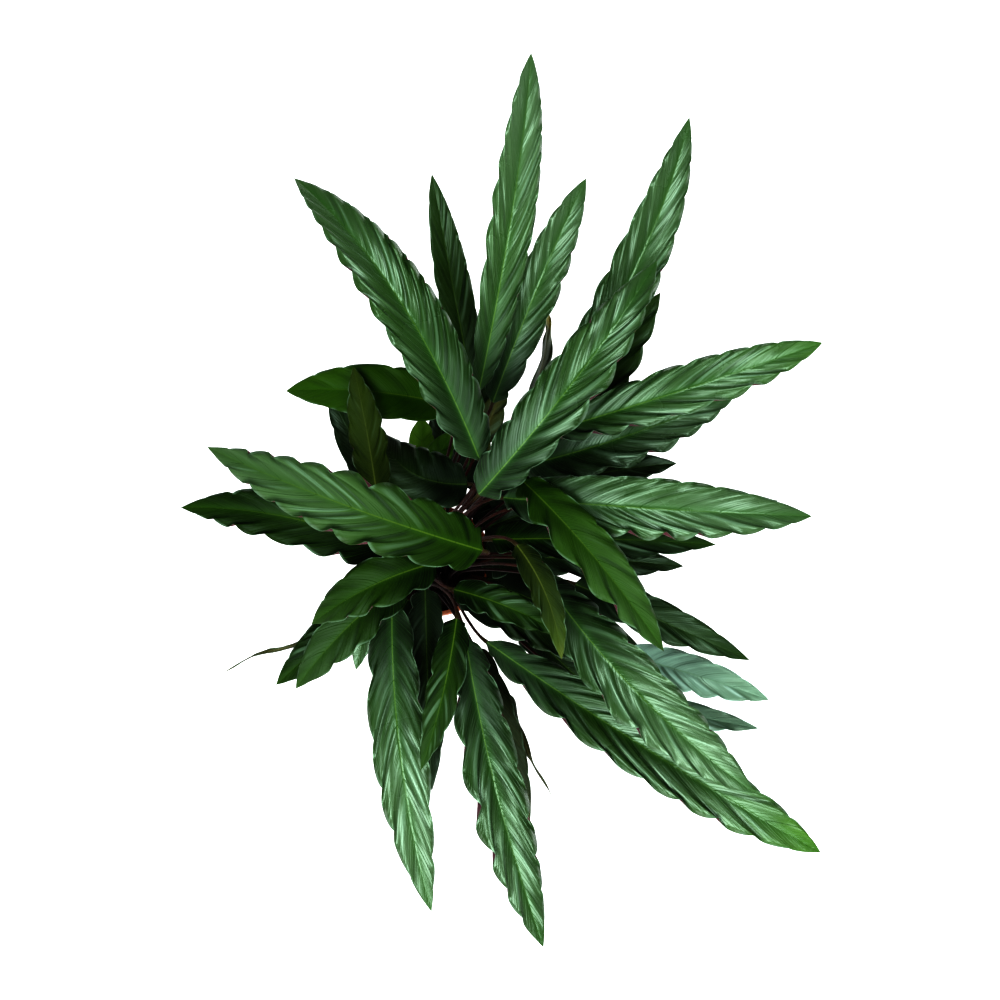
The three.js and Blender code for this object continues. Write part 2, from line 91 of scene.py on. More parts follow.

# %% [markdown]
# ## The leaves, one row each
# A plant has no drawing to copy, so its leaves are a given list: where each stalk ends (the
# collar), where the tip is, how far the blade arches up and sways sideways, its half width,
# where it is widest, how far it banks, how strong its ruffles are and how many it has. These are
# the rows of the construction model, so the fine leaves lie where its solids are. The last
# number is new: how light the leaf's green is, from deep shade to fresh.
#
# A few leaves are lighter at the tip, and some have a stronger painted sheen, a soft pale cast
# that stands in for reflected light and grows towards the tip. Those get a number of their own
# by leaf.

# %% Leaf rows
LEAVES = [
    # Upper leaves
    (1, (51, 39, 400), (-116, 298, 405), 35, 14, 29, 0.45, 18, 1.0, 13, 0.62),
    (3, (49, 112, 362), (96, 409, 425), 30, 6.5, 21, 0.5, 25, 1.0, 10, 0.75),
    (4, (61, 109, 335), (147, 312, 375), 25, 0, 20, 0.45, 15, 1.0, 8, 0.5),
    (7, (49, 10, 395), (204, 212, 425), 35, 11, 25, 0.42, 0, 1.0, 9, 0.5),
    (12, (70, 14, 368), (338, -5, 380), 30, 8, 26, 0.45, 0, 1.0, 10, 0.55),
    (14, (87, 25, 388), (206, -122, 385), 30, -1, 22, 0.45, -15, 1.2, 6, 0.85),
    (21, (105, -53, 350), (278, -239, 385), 30, 15, 27, 0.48, 0, 1.0, 9, 0.5),
    (22, (55, -105, 305), (345, -289, 320), 30, 7, 26, 0.55, 0, 1.0, 10, 0.55),
    (23, (82, -34, 402), (119, -131, 405), 8, -7, 12, 0.4, 0, 1.0, 5, 0.45),
    (36, (54, -39, 402), (-184, 52, 400), 38, -11, 27, 0.37, -12, 1.2, 10, 0.8),
    # Middle leaves
    (6, (114, 94, 325), (242, 368, 385), 30, 15, 24, 0.43, 15, 1.0, 10, 0.55),
    (9, (100, 75, 350), (352, 149, 390), 25, 8, 22, 0.52, 0, 1.0, 9, 0.55),
    (10, (88, 56, 310), (287, 122, 335), 20, 10, 27, 0.42, 0, 1.0, 8, 0.15),
    (24, (26, -58, 305), (122, -99, 312), 10, -3, 15, 0.42, 0, 1.0, 5, 0.45),
    (26, (-30, -68, 305), (7, -343, 270), 30, 8, 24, 0.45, 0, 1.0, 7, 0.5),
    (27, (30, -89, 345), (0, -220, 345), 8, -4, 15, 0.4, 0, 1.0, 5, 0.45),
    (28, (37, -102, 318), (106, -371, 290), 30, 6.5, 24.5, 0.48, -15, 1.4, 8, 0.42),
    (31, (12, -42, 358), (-100, -92, 325), 22, 3, 22, 0.4, 0, 1.0, 5, 0.55),
    (32, (-19, -52, 318), (-119, -146, 280), 15, 4, 22, 0.4, 0, 1.0, 5, 0.5),
    (37, (-15, -32, 325), (-222, 14, 325), 22, 9, 25, 0.4, 0, 1.0, 8, 0.35),
    (38, (20, 110, 330), (-130, 124, 325), 22, 0, 25, 0.4, 0, 0.6, 5, 1.1),
    (39, (-41, 15, 345), (-64, 136, 362), 10, 2, 16, 0.42, 0, 1.0, 6, 0.7),
    # Lower leaves
    (2, (43, 132, 285), (3, 338, 330), 20, -1, 18, 0.42, 20, 0.5, 8, 0.55),
    (5, (80, 103, 270), (110, 226, 300), 15, 14, 14, 0.4, 70, 1.0, 5, 0.1),
    (8, (131, 85, 265), (222, 230, 300), 15, 0, 21, 0.4, 0, 1.0, 6, 0.75),
    (11, (125, 51, 265), (235, 65, 285), 12, 0, 16, 0.4, 0, 1.0, 4, 0.15),
    (13, (84, 18, 306), (323, 22, 318), 10, 0, 15, 0.35, 0, 1.0, 8, 0.2),
    (15, (60, -8, 284), (268, -15, 296), 16, 0, 20, 0.4, 0, 1.0, 7, 0.0),
    (16, (84, -22, 268), (241, -31, 270), 15, 0, 18, 0.4, 0, 1.0, 6, 0.2),
    (17, (90, -15, 245), (218, -24, 240), 12, 0, 19, 0.4, 0, 1.0, 5, 0.2),
    (18, (136, -52, 300), (296, -121, 290), 18, 2, 18, 0.38, 0, 1.0, 6, 0.35),
    (19, (186, -113, 256), (314, -156, 280), 12, 0, 18, 0.4, 0, 1.0, 6, 1.15),
    (20, (165, -153, 228), (312, -180, 235), 8, 0, 14, 0.4, 0, 1.0, 5, 0.45),
    (25, (30, -57, 265), (165, -128, 268), 10, -5, 19, 0.4, 0, 1.0, 6, 0.45),
    (29, (42, -107, 268), (96, -266, 240), 15, 0, 19, 0.4, 0, 1.0, 6, 0.3),
    (30, (51, -117, 235), (117, -242, 215), 8, 0, 7, 0.4, 0, 1.0, 6, 0.1),
    (33, (-45, -60, 272), (-143, -140, 245), 10, 0, 19, 0.4, 0, 1.0, 5, 0.35),
    (34, (-66, -84, 246), (-196, -129, 240), 10, 4, 5, 0.4, 0, 1.0, 7, 0.05),
    (35, (-52, -44, 216), (-73, -122, 198), 8, 0, 13, 0.4, 0, 1.0, 3, 0.5),
    (40, (-30, 16, 245), (-100, 143, 262), 12, 0, 19, 0.4, 0, 1.0, 5, 0.1),
    (41, (39, 37, 320), (-44, 92, 300), 12, -20, 26, 0.4, 0, 1.0, 5, 0.3),
    (42, (-4, 66, 235), (24, 106, 250), 4, 0, 13, 0.42, 0, 0.6, 3, 1.2),
    (43, (-10, 78, 213), (-10, 127, 222), 4, 0, 13, 0.45, 0, 0.6, 3, 1.7),
    (44, (-3, -49, 255), (4, -238, 225), 12, 0, 19, 0.4, 0, 1.0, 7, 0.15),
    (45, (44, 86, 235), (74, 153, 250), 6, 0, 13, 0.4, 0, 1.0, 3, 0.9),
    # Lowest leaves, close round the stalks
    (46, (62, -10, 186), (190, 8, 205), 12, 0, 20, 0.4, 0, 1.0, 5, 0.0),
    (47, (54, 52, 190), (136, 142, 212), 12, 0, 18, 0.4, 0, 1.0, 4, 0.0),
    (48, (66, -34, 166), (206, -98, 188), 10, 0, 19, 0.4, 0, 1.0, 5, 0.0),
    (49, (32, 64, 190), (56, 178, 212), 12, 0, 17, 0.4, 0, 1.0, 4, 0.0),
    (50, (-44, 6, 182), (-130, 26, 196), 10, 0, 19, 0.4, 0, 1.0, 3, 0.0),
    (51, (-40, -34, 166), (-92, -84, 172), 8, 0, 16, 0.4, 0, 1.0, 3, 0.0),
    (52, (14, 84, 178), (4, 150, 186), 6, 0, 16, 0.4, 0, 1.0, 3, 0.0),
    (53, (-26, -46, 150), (-62, -112, 158), 8, 0, 15, 0.4, 0, 1.0, 3, 0.0),
    (54, (52, 27, 158), (138, 54, 170), 8, 0, 16, 0.4, 0, 1.0, 3, 0.0),
    (55, (38, 45, 142), (140, 104, 152), 8, 0, 18, 0.4, 0, 1.0, 4, 0.0),
    (56, (53, 4, 150), (150, -8, 166), 8, 0, 17, 0.4, 0, 1.0, 3, 0.0),
    (57, (54, -23, 140), (166, -46, 152), 8, 0, 17, 0.4, 0, 1.0, 4, 0.0),
    (58, (98, -84, 178), (206, -188, 188), 8, 0, 17, 0.45, 0, 1.0, 4, 0.0),
]
OLD_LEAVES = {5, 29, 30, 34, 45}
DRIED_LEAVES = {30, 34}
TIP_LIGHT = {5: 3.0, 9: 0.8, 22: 0.9, 23: 0.9}
# Painted sheen: a pale cast painted towards the tip in place of reflected light, by leaf.
PAINTED_SHEEN_STRENGTH = 0.75
PLAIN_PAINTED_SHEEN = 0.1
PAINTED_SHEEN = {1: 0.6, 3: 1.2, 4: 0.9, 6: 0.8, 7: 0.55, 9: 0.65, 10: 0.8, 12: 0.8, 14: 0.4, 19: 1.0,
         20: 0.8, 21: 1.0, 22: 0.6, 26: 0.8, 27: 0.2, 28: 0.55, 31: 0.2, 32: 0.4, 35: 0.8, 36: 0.9}


def unit(vectors):
    """Each vector divided by its length."""
    return vectors / np.linalg.norm(vectors, axis=-1, keepdims=True)


def read_leaf(row):
    """A row with its lengths in metres and the values that follow from them."""
    number, collar, tip, rise, sway, half, widest, bank, ruffle, waves, light = row
    leaf = SimpleNamespace(number=number, name=f"leaf_{number:02d}", widest=widest, ruffle=ruffle,
                           waves=waves, light=light, bank=math.radians(bank))
    leaf.collar = np.array(collar) * MM
    leaf.tip = np.array(tip) * MM
    leaf.rise = rise * MM
    leaf.sway = sway * MM
    leaf.half = half * MM
    leaf.side = unit(np.cross(leaf.tip - leaf.collar, UP))
    leaf.tip_light = TIP_LIGHT.get(number, 0)
    leaf.bloom = PAINTED_SHEEN_STRENGTH * PAINTED_SHEEN.get(number, PLAIN_PAINTED_SHEEN)
    leaf.old = number in OLD_LEAVES
    leaf.dried = number in DRIED_LEAVES
    leaf.draw = np.random.default_rng(number)
    return leaf


leaves = [read_leaf(row) for row in LEAVES]
print("leaves:", len(leaves), "waves in all:", sum(leaf.waves for leaf in leaves))

# %% [markdown]
# ## Where the stalks stand
# On the real plant the stalks crowd together in the pot, and the leaves that lean out most
# come from its outside. So each root starts on its leaf's side of the pot, further out the
# more the stalk leans, and then roots that are too close push each other apart.

# %% Roots
CROWN_LEAN = np.array([50, 10]) * MM
CROWN_HEIGHT = 400 * MM
ROOT_SPACING = 9 * MM
ROOT_REACH = 44 * MM
HALF_REACH_LEAN = 0.35
SETTLE_ROUNDS = 80


def soil_height(radius):
    """Level in the middle, then falling evenly to the pot's wall."""
    fall = np.maximum(0, radius - SOIL_FLAT_RADIUS) / (POT_TOP_RADIUS - SOIL_FLAT_RADIUS)
    return SOIL_TOP - SOIL_CROWN * fall


def settle_roots():
    """Start = reach x lean / (lean + half-reach lean), then rounds of pushing apart."""
    roots = []
    for leaf in leaves:
        share = (leaf.collar[2] - SOIL_TOP) / (CROWN_HEIGHT - SOIL_TOP)
        away = leaf.collar[:2] - CROWN_LEAN * share
        lean = np.linalg.norm(away) / (leaf.collar[2] - SOIL_TOP)
        roots.append(unit(away) * ROOT_REACH * lean / (lean + HALF_REACH_LEAN))
    for _ in range(SETTLE_ROUNDS):
        roots = [root * min(1, ROOT_REACH / np.linalg.norm(root)) for root in roots]
        for i in range(len(roots)):
            for j in range(i):
                away = roots[i] - roots[j]
                lack = ROOT_SPACING - np.linalg.norm(away)
                if lack > 0:
                    push = unit(away) * lack / 2
                    roots[i] = roots[i] + push
                    roots[j] = roots[j] - push
    return roots


for leaf, root in zip(leaves, settle_roots()):
    leaf.root = np.append(root, soil_height(np.linalg.norm(root)))
print("first root in mm:", (leaves[0].root / MM).round(1))

# %% [markdown]
# ## The midrib and its directions
# The midrib is the leaf's backbone. It could be a Bezier curve, but a straight line that is
# arched up and swayed sideways by the same hump, 4t(1-t), needs only two numbers. At each
# place along it we want three directions: along the rib, to its right, and out of the upper
# face. Turning the last two about the rib banks the blade.

# %% Midrib
DRIED_WIGGLE = 2.5 * MM
DRIED_WIGGLES = 1.6
DRIED_TWIST = math.radians(70)


def dried_wave(t):
    """Sine of t times the number of wiggles."""
    return np.sin(2 * np.pi * DRIED_WIGGLES * t)


def midrib(leaf, t):
    """Line from collar to tip plus hump x (rise upwards and sway to the side)."""
    t = np.asarray(t)[..., None]
    hump = 4 * t * (1 - t)
    line = leaf.collar + (leaf.tip - leaf.collar) * t
    line = line + hump * (leaf.rise * UP + leaf.sway * leaf.side)
    if leaf.dried:
        line = line + DRIED_WIGGLE * hump * dried_wave(t) * leaf.side
    return line


def blade_frame(leaf, t):
    """Slope of the midrib, the level direction to its right, and up; then banked."""
    t = np.asarray(t)[..., None]
    slope = 4 * (1 - 2 * t)
    forward = unit(leaf.tip - leaf.collar + slope * (leaf.rise * UP + leaf.sway * leaf.side))
    level = unit(np.cross(forward, UP))
    upright = np.cross(level, forward)
    bank = leaf.bank + (DRIED_TWIST * dried_wave(t) if leaf.dried else 0)
    up = upright * np.cos(bank) + level * np.sin(bank)
    return forward, up, np.cross(forward, up)


def smooth_step(x):
    """3x^2 - 2x^3, level at 0 and at 1."""
    x = np.clip(x, 0, 1)
    return x * x * (3 - 2 * x)


print("middle of the first midrib in mm:", (midrib(leaves[0], 0.5) / MM).round(1))

# %% [markdown]
# A blade's outline is narrow at the collar, full in the middle and pointed at the tip. A
# product of two powers has this form, and its widest place is one plain number. The dried
# leaves have kept a little width near the collar and shrunk to strings beyond it. The point of
# the tip is drawn in a little more, and the blade's base bulges out in a shoulder, which is
# fuller on the low leaves.

# %% Outline of the blade
DRIED_BASE = 1.5
DRIED_START = 0.3
DRIED_REACH = 0.25
POINT_START = 0.05
POINT_LEAST = 0.01
POINT_POWER = 0.5
SHOULDER = 0.6
SHOULDER_REACH = 0.08
LOW_SHOULDER = 1.8
FIRST_LOW_LEAF = 46


def half_width(leaf, t):
    """Product of two powers, t and 1-t, that is 1 where the blade is widest."""
    swell = (t / leaf.widest) ** (FULLNESS * leaf.widest)
    taper = ((1 - t) / (1 - leaf.widest)) ** (FULLNESS * (1 - leaf.widest))
    shrunk = DRIED_BASE - smooth_step((t - DRIED_START) / DRIED_REACH) if leaf.dried else 1
    return np.maximum(leaf.half * swell * taper * shrunk, TIP_HALF_WIDTH)


def shaped_width(leaf, t):
    """Half width x a root that closes the tip x (1 + a shoulder that dies out as exp)."""
    point = np.maximum((1 - t) / (1 - t + POINT_START), POINT_LEAST)
    width = half_width(leaf, t) * (point * (1 + POINT_START)) ** POINT_POWER
    shoulder = LOW_SHOULDER if leaf.low else SHOULDER
    return width * (1 + shoulder * np.exp(-t / SHOULDER_REACH))


for leaf in leaves:
    leaf.low = leaf.number >= FIRST_LOW_LEAF
widest = shaped_width(leaves[0], np.linspace(0, 1, 101)).max()
print("greatest half width of the first leaf in mm:", round(widest / MM, 1))

# %% [markdown]
# ## The blade
# The side veins leave the midrib at a sharp angle and sweep forward, and the blade is
# corrugated along them: small pleats inside, large ruffles at the margin. So the grid's rows
# follow the veins, not straight lines across. Each row has a share, its count of ruffles over
# all of them, and s, the place where its vein leaves the midrib. A small stretch from one to
# the other makes the ruffles longer towards the tip. With u the share of the way to the margin
# (below 0 on the left), a wave in the share alone gives folds that run along the veins.
#
# The margin bulges out in rounded lobes between sharper notches, and each lobe leans forward.
# The leaf lay rolled up in the bud with its left half inside, which stays calmer on most
# leaves: its lobes and pleats are flatter than those of the right half. The low leaves have a
# base lobe on each side that reaches back past the collar.
#
# The upper face is that surface. The lower face is the same one moved inwards by the blade's
# thickness, with the midrib standing out under it.

# %% Waves of the blade
LOBE_LEAN = 1.12
LOBE_ROUND = 0.7
EVEN_LEAVES = {7, 9, 14, 21, 22, 23, 24, 26, 27, 28, 31, 32, 36, 37, 39}
CALM_LOBES = 0.5
CALM_PLEATS = 0.35
HEIGHT_CHANGE = 0.3
HEIGHT_TURNS = 2.3
DRIFT = 0.12
DRIFT_TURNS = 1.7
SIDE_SHIFT = 0.25
EARLY_START = 0.04
SECOND_PLEAT = 0.8
PLEAT_MEAN = 0.75
PLEAT_CHANGE = 0.35
PLEAT_CHANGE_TURNS = 0.37
PLEAT_DRIFT = 0.16
PLEAT_DRIFT_TURNS = 0.29
PLEAT_SIDE_SHIFT = 0.6
PLEAT_FULL = 0.4
SMOOTH_LEAVES = {14, 23, 31, 32, 37, 38, 39, 41}
SMOOTH_PLEATS = 0.35


def lobe_shape(turns):
    """|sin(pi p^lean)|^round for the broken part p of the turns: a slow rise, a quick return."""
    part = turns % 1.0
    return np.abs(np.sin(np.pi * part ** LOBE_LEAN)) ** LOBE_ROUND


LOBE_MEAN = lobe_shape(np.linspace(0, 1, 400)).mean()


def slow_wave(turns, start):
    """Sine of the turns, from a seeded start."""
    return np.sin(2 * np.pi * (turns + start))


def ruffle_turns(leaf, share, side):
    """Turns of the ruffle along the blade, wandering a little; whole where a crest stands."""
    wander = leaf.wander[(side > 0).astype(int)]
    height = 1 + HEIGHT_CHANGE * slow_wave(HEIGHT_TURNS * share, wander[..., 1])
    drift = DRIFT * slow_wave(DRIFT_TURNS * share, wander[..., 0])
    return leaf.waves * share + side * SIDE_SHIFT + drift, height


def early_fade(t, power=4):
    """Nothing at the collar, full soon after it, fading to the tip as 1 - a power of t."""
    return (1 - np.maximum(0, 1 - t / EARLY_START) ** 2) * (1 - t ** power)


def pleat_shape(leaf, share, turns, side):
    """A cosine of the turns plus a weaker one at twice the count, of changing strength."""
    wander = leaf.wander[(side > 0).astype(int)]
    waves = leaf.waves * share
    strength = PLEAT_MEAN + PLEAT_CHANGE * slow_wave(PLEAT_CHANGE_TURNS * waves, wander[..., 0])
    drift = PLEAT_DRIFT * slow_wave(PLEAT_DRIFT_TURNS * waves, wander[..., 1])
    first = np.cos(2 * np.pi * (turns + drift) + PLEAT_SIDE_SHIFT * side)
    second = np.cos(2 * np.pi * (2 * turns + wander[..., 1]))
    strength = strength * (SMOOTH_PLEATS if leaf.number in SMOOTH_LEAVES else 1)
    grown = 0.5 + 0.5 * smooth_step(share / PLEAT_FULL)
    return strength * grown * (first + SECOND_PLEAT * second)


for leaf in leaves:
    leaf.wander = leaf.draw.random((2, 2))
print("mean of a lobe:", round(LOBE_MEAN, 3), "ruffles of the first leaf:", leaves[0].waves)

# %% [markdown]
# With these waves the upper face is a function of two numbers, the share and u. Each wave
# moves a point across the blade, along the vein or out of the face.

# %% Upper face of the blade
VEIN_HOLD_BACK = 0.7
SWEEP_CURVE = 1.35
LOW_BACK = 0.09
BACK_REACH = 0.06
BACK_CURVE = 1.5
LOBE_DEPTH = 0.25
LOBE_INSET = 3
RUFFLE_HEIGHT = 0.14
RUFFLE_INSET = 4
PLEAT_HEIGHT = 0.42 * MM
PLEAT_START = 0.12
PLEAT_END = 9
PLEAT_INSET = 5
GROOVE_WIDTH = 0.05
BLADE_DOME = 0.05
WAVY_WIDTH = 0.5


def vein_places(leaf, s, across):
    """Places along the midrib: s plus the sweep, which is held back near the midrib."""
    sweep = VEIN_SWEEP * 4 * s * (1 - s)
    reach = (1 + VEIN_HOLD_BACK) * across ** SWEEP_CURVE - VEIN_HOLD_BACK
    back = LOW_BACK * np.exp(-s / BACK_REACH) * across ** BACK_CURVE if leaf.low else 0
    return np.clip(s + sweep * reach, 0, 1) - back, np.clip(s + sweep, 0, 1)


def blade_upper(leaf, share, u):
    """Points of the upper face, with rows along the veins.

    Along the midrib: s plus the vein's sweep, which starts behind s on the midrib and ends
    before it at the margin. Across: |u| of the half width, and the lobes near the margin.
    Up: the fold, a low dome, ruffles that rise only near the margin, and pleats inside it.
    """
    side, across = np.sign(u), np.abs(u)
    t, t_margin = vein_places(leaf, share ** RUFFLE_STRETCH, across)
    width = shaped_width(leaf, t_margin)
    room = np.minimum(1, width / (WAVY_WIDTH * leaf.half))
    calm = (side < 0) & (leaf.number not in EVEN_LEAVES)
    turns, height = ruffle_turns(leaf, share, side)
    fade = early_fade(t_margin) * leaf.ruffle * height * np.where(calm, CALM_LOBES, 1)
    wave = np.cos(2 * np.pi * turns) * fade * across ** RUFFLE_INSET
    lobe = (lobe_shape(turns) - LOBE_MEAN) * fade * across ** LOBE_INSET
    pleat = pleat_shape(leaf, share, turns, side) * np.where(calm, CALM_PLEATS, 1)
    pleat = pleat * early_fade(t_margin, PLEAT_END)
    pleat = pleat * (1 - np.exp(-across / PLEAT_START)) * (1 - across ** PLEAT_INSET)
    groove = np.sqrt(across ** 2 + GROOVE_WIDTH ** 2) - GROOVE_WIDTH
    lift = FOLD * width * groove + BLADE_DOME * width * 4 * across * (1 - across)
    lift = lift + RUFFLE_HEIGHT * leaf.half * room * wave + PLEAT_HEIGHT * np.sqrt(room) * pleat
    out = width * across + LOBE_DEPTH * leaf.half * room * lobe
    _, up, right = blade_frame(leaf, t)
    points = midrib(leaf, t) + right * (side * out)[..., None] + up * lift[..., None]
    return points, t, width * across, pleat


sample, *_ = blade_upper(leaves[0], np.linspace(0, 1, 9)[:, None], np.array([[-1.0, 1.0]]))
print("margin points of the first leaf in mm:", (sample[4] / MM).round(1).tolist())

# %% [markdown]
# ## Stalk and blade as one skin
# A leaf grows as one piece, so it is one closed skin here: rings of points carried along the
# stalk and on along the blade. A ring has as many points on its upper half as the blade has
# columns. Near the collar the ring changes smoothly from a circle to the blade's flat section.
#
# The stalk follows a cubic Bezier curve, straight up out of the soil and bent into the blade's
# direction at the knee. Turning its rings as little as possible from one to the next keeps
# them from twisting.

# %% Rings of the stalk
COLUMNS = 18
FIRST_ANGLE = 170
STALK_ROWS = 22
SHEATH_CURVE = 4
KNEE_SHARE = 0.07


def ring_angles():
    """Angles over the top from left to right, then back underneath."""
    over = np.linspace(FIRST_ANGLE, 180 - FIRST_ANGLE, COLUMNS + 1)
    return np.radians(np.concatenate([over, -over[::-1]]))


def circle_ring(centre, up, right, radius):
    """Centre + radius x (cos angle x right + sin angle x up)."""
    angle = ring_angles()[:, None]
    ring = np.cos(angle) * right[..., None, :] + np.sin(angle) * up[..., None, :]
    return centre[..., None, :] + radius[..., None, None] * ring


def bezier(corners, step):
    """A cubic Bezier curve: its points, and their directions from its first derivative."""
    back = 1 - step
    weights = [back ** 3, 3 * back ** 2 * step, 3 * back * step ** 2, step ** 3]
    slopes = [3 * back ** 2, 6 * back * step, 3 * step ** 2]
    centre = sum(weight * corner for weight, corner in zip(weights, corners))
    along = sum(slope * (b - a) for slope, a, b in zip(slopes, corners, corners[1:]))
    return centre, unit(along)


def stalk_rings(leaf):
    """Rings up the stalk from its foot to the collar, with the share of the way for each."""
    forward, up, _ = blade_frame(leaf, np.array(0.0))
    reach = RISE_REACH * (leaf.collar[2] - leaf.root[2])
    corners = [leaf.root, leaf.root + reach * UP, leaf.collar - KNEE_REACH * forward, leaf.collar]
    step = np.linspace(0, 1, STALK_ROWS)
    centre, along = bezier(corners, step[:, None])
    ups = np.zeros_like(along)
    for i in reversed(range(STALK_ROWS)):
        up = unit(up - along[i] * (up @ along[i]))
        ups[i] = up
    sheath = (SHEATH_RADIUS - STALK_RADIUS) * (1 - step) ** SHEATH_CURVE
    knee = (KNEE_RADIUS - STALK_RADIUS) * np.exp(-((1 - step) / KNEE_SHARE) ** 2)
    rings = circle_ring(centre, ups, np.cross(along, ups), STALK_RADIUS + sheath + knee)
    foot = rings[:1] - STALK_DEPTH * UP
    return np.concatenate([foot, rings]), np.append(0, step)


print("rings of a stalk:", len(stalk_rings(leaves[0])[0]), "points in a ring:", len(ring_angles()))

# %% [markdown]
# The blade's rings have the upper face on top and the lower face underneath, thinner towards
# the margin. Under the midrib the lower face stands out as a rib, which dies away to the tip.

# %% Rings of the blade
ROWS_A_WAVE = 16
FIRST_SHARE = 0.012
BLEND_END = 0.025
BLADE_THICKNESS = 0.6 * MM
MARGIN_THICKNESS = 0.4 * MM
RIB_WIDTH = 1.3 * MM
RIB_DEPTH = 1.5 * MM
RIB_TAPER = 1.5


def surface_normals(points):
    """Cross product of the steps across and along the grid, which points out of the top."""
    return unit(np.cross(np.gradient(points, axis=1), np.gradient(points, axis=0)))


def blade_rings(leaf):
    """Rings along the blade: its upper face, then its lower face from right to left."""
    rows = ROWS_A_WAVE * leaf.waves
    share = FIRST_SHARE + (1 - FIRST_SHARE) * np.linspace(0, 1, rows)[:, None]
    u = np.linspace(-1, 1, COLUMNS + 1)[None, :]
    upper, t, from_rib, pleat = blade_upper(leaf, share, u)
    s = share ** RUFFLE_STRETCH
    thickness = BLADE_THICKNESS + (MARGIN_THICKNESS - BLADE_THICKNESS) * np.abs(u)
    rib = RIB_DEPTH * (1 - s) ** RIB_TAPER * np.exp(-(from_rib / RIB_WIDTH) ** 2)
    lower = upper - surface_normals(upper) * (thickness + rib)[..., None]
    flat = np.concatenate([upper, lower[:, ::-1]], axis=1)
    _, up, right = blade_frame(leaf, s[:, 0])
    round_ring = circle_ring(midrib(leaf, s[:, 0]), up, right, np.full(rows, KNEE_RADIUS))
    blend = smooth_step(s / BLEND_END)[..., None]
    rings = round_ring * (1 - blend) + flat * blend
    places = np.broadcast_arrays(t, from_rib, u, share, pleat)
    return rings, [np.concatenate([place, place[:, ::-1]], axis=1) for place in places]


print("rings of the first blade:", len(blade_rings(leaves[0])[0]))

# %% [markdown]
# ## The velvet
# The stalk and the midrib under the blade wear a coat of short hairs, which makes the plant
# feel like velvet. Strands of a hair system would not be part of the mesh, so each hair here is
# a thin three-sided spike, rooted just under the skin and leaning up the stalk.

# %% Hairs
STALK_HAIRS = 700
RIB_HAIRS = 220
HAIR_LENGTH = 1.3 * MM
HAIR_RADIUS = 0.07 * MM
HAIR_LEAN = 0.45
HAIR_SCATTER = 0.5
SHORTEST_HAIR = 0.5


def hairs_on(leaf, rings, columns, count):
    """Spikes on the given ring columns: the four corners of each, and its ring's number."""
    draw = leaf.draw
    place = draw.random(count) * (len(rings) - 1.01)
    row = place.astype(int)
    column = draw.choice(columns, count)
    part = (place - row)[:, None]
    here = rings[row, column] * (1 - part) + rings[row + 1, column] * part
    centre = rings[row].mean(1) * (1 - part) + rings[row + 1].mean(1) * part
    along = unit(rings[row + 1, column] - rings[row, column])
    out = here - centre
    out = unit(out - along * (out * along).sum(-1, keepdims=True))
    lean = unit(out + HAIR_LEAN * along + HAIR_SCATTER * (draw.random((count, 3)) - 0.5))
    length = HAIR_LENGTH * (SHORTEST_HAIR + draw.random(count))[:, None]
    across = np.cross(along, out)
    turn = np.radians([0, 120, 240])[:, None, None]
    foot = here - HAIR_RADIUS * out + HAIR_RADIUS * (np.cos(turn) * along + np.sin(turn) * across)
    return np.concatenate([foot, (here + length * lean)[None]]).swapaxes(0, 1), row


def hair_faces(count, first):
    """The three sides of each spike, with corners counted from the first."""
    sides = np.array([[0, 1, 3], [1, 2, 3], [2, 0, 3]])
    return (first + 4 * np.arange(count)[:, None, None] + sides).reshape(-1, 3)


print("hairs on a leaf:", STALK_HAIRS + RIB_HAIRS)

# %% [markdown]
# ## From rings to meshes
# Vertices go into a mesh as one array, and the faces of a grid follow from their row and column
# numbers, so no loop runs over them. The patterns need to know where they are on the leaf, so
# each vertex also carries that: a UV map holds the place across and the count of waves along,
# and attributes hold single numbers.

# %% Mesh helpers
def grid_quads(rows, ring):
    """Corner numbers of the quads between rings, closed round each ring."""
    row = np.arange(rows - 1)[:, None] * ring
    here = np.arange(ring)[None, :]
    after = (here + 1) % ring
    return np.stack([row + here, row + after, row + after + ring, row + here + ring], -1)


def new_mesh(name, points, faces, smooth=True):
    """A mesh object at the origin, with its place in its mesh."""
    mesh = bpy.data.meshes.new(name)
    mesh.from_pydata(points.reshape(-1, 3).tolist(), [], faces)
    mesh.polygons.foreach_set("use_smooth", [smooth] * len(mesh.polygons))
    mesh.update()
    piece = bpy.data.objects.new(name, mesh)
    bpy.context.scene.collection.objects.link(piece)
    return piece


def add_uv(mesh, uv):
    """A UV map with the given pair for every vertex."""
    corners = np.zeros(len(mesh.loops), int)
    mesh.loops.foreach_get("vertex_index", corners)
    layer = mesh.uv_layers.new(name="VeinMap")
    layer.data.foreach_set("uv", uv[corners].astype(np.float32).ravel())


def add_values(mesh, name, values):
    """A number for every vertex, which a material can read."""
    attribute = mesh.attributes.new(name, "FLOAT", "POINT")
    attribute.data.foreach_set("value", values.astype(np.float32).ravel())


print("quads between two rings of four points:", len(grid_quads(2, 4)[0]))

# %% [markdown]
# Now the parts of a leaf come together: the rings of stalk and blade, closed at the foot and at
# the tip, and the hairs. Five attributes tell the materials about each point: the way along the
# blade (below 0 on the stalk), the distance from the midrib in millimetres, the lightness, the
# painted sheen and the pleat. A hair takes the values of the place it grows from.

# %% Leaf builder
UPPER, LOWER, STALK = 0, 1, 2
PAINTED_SHEEN_START = 0.05
PAINTED_SHEEN_FULL = 0.85
TIP_LIGHT_START = 0.55


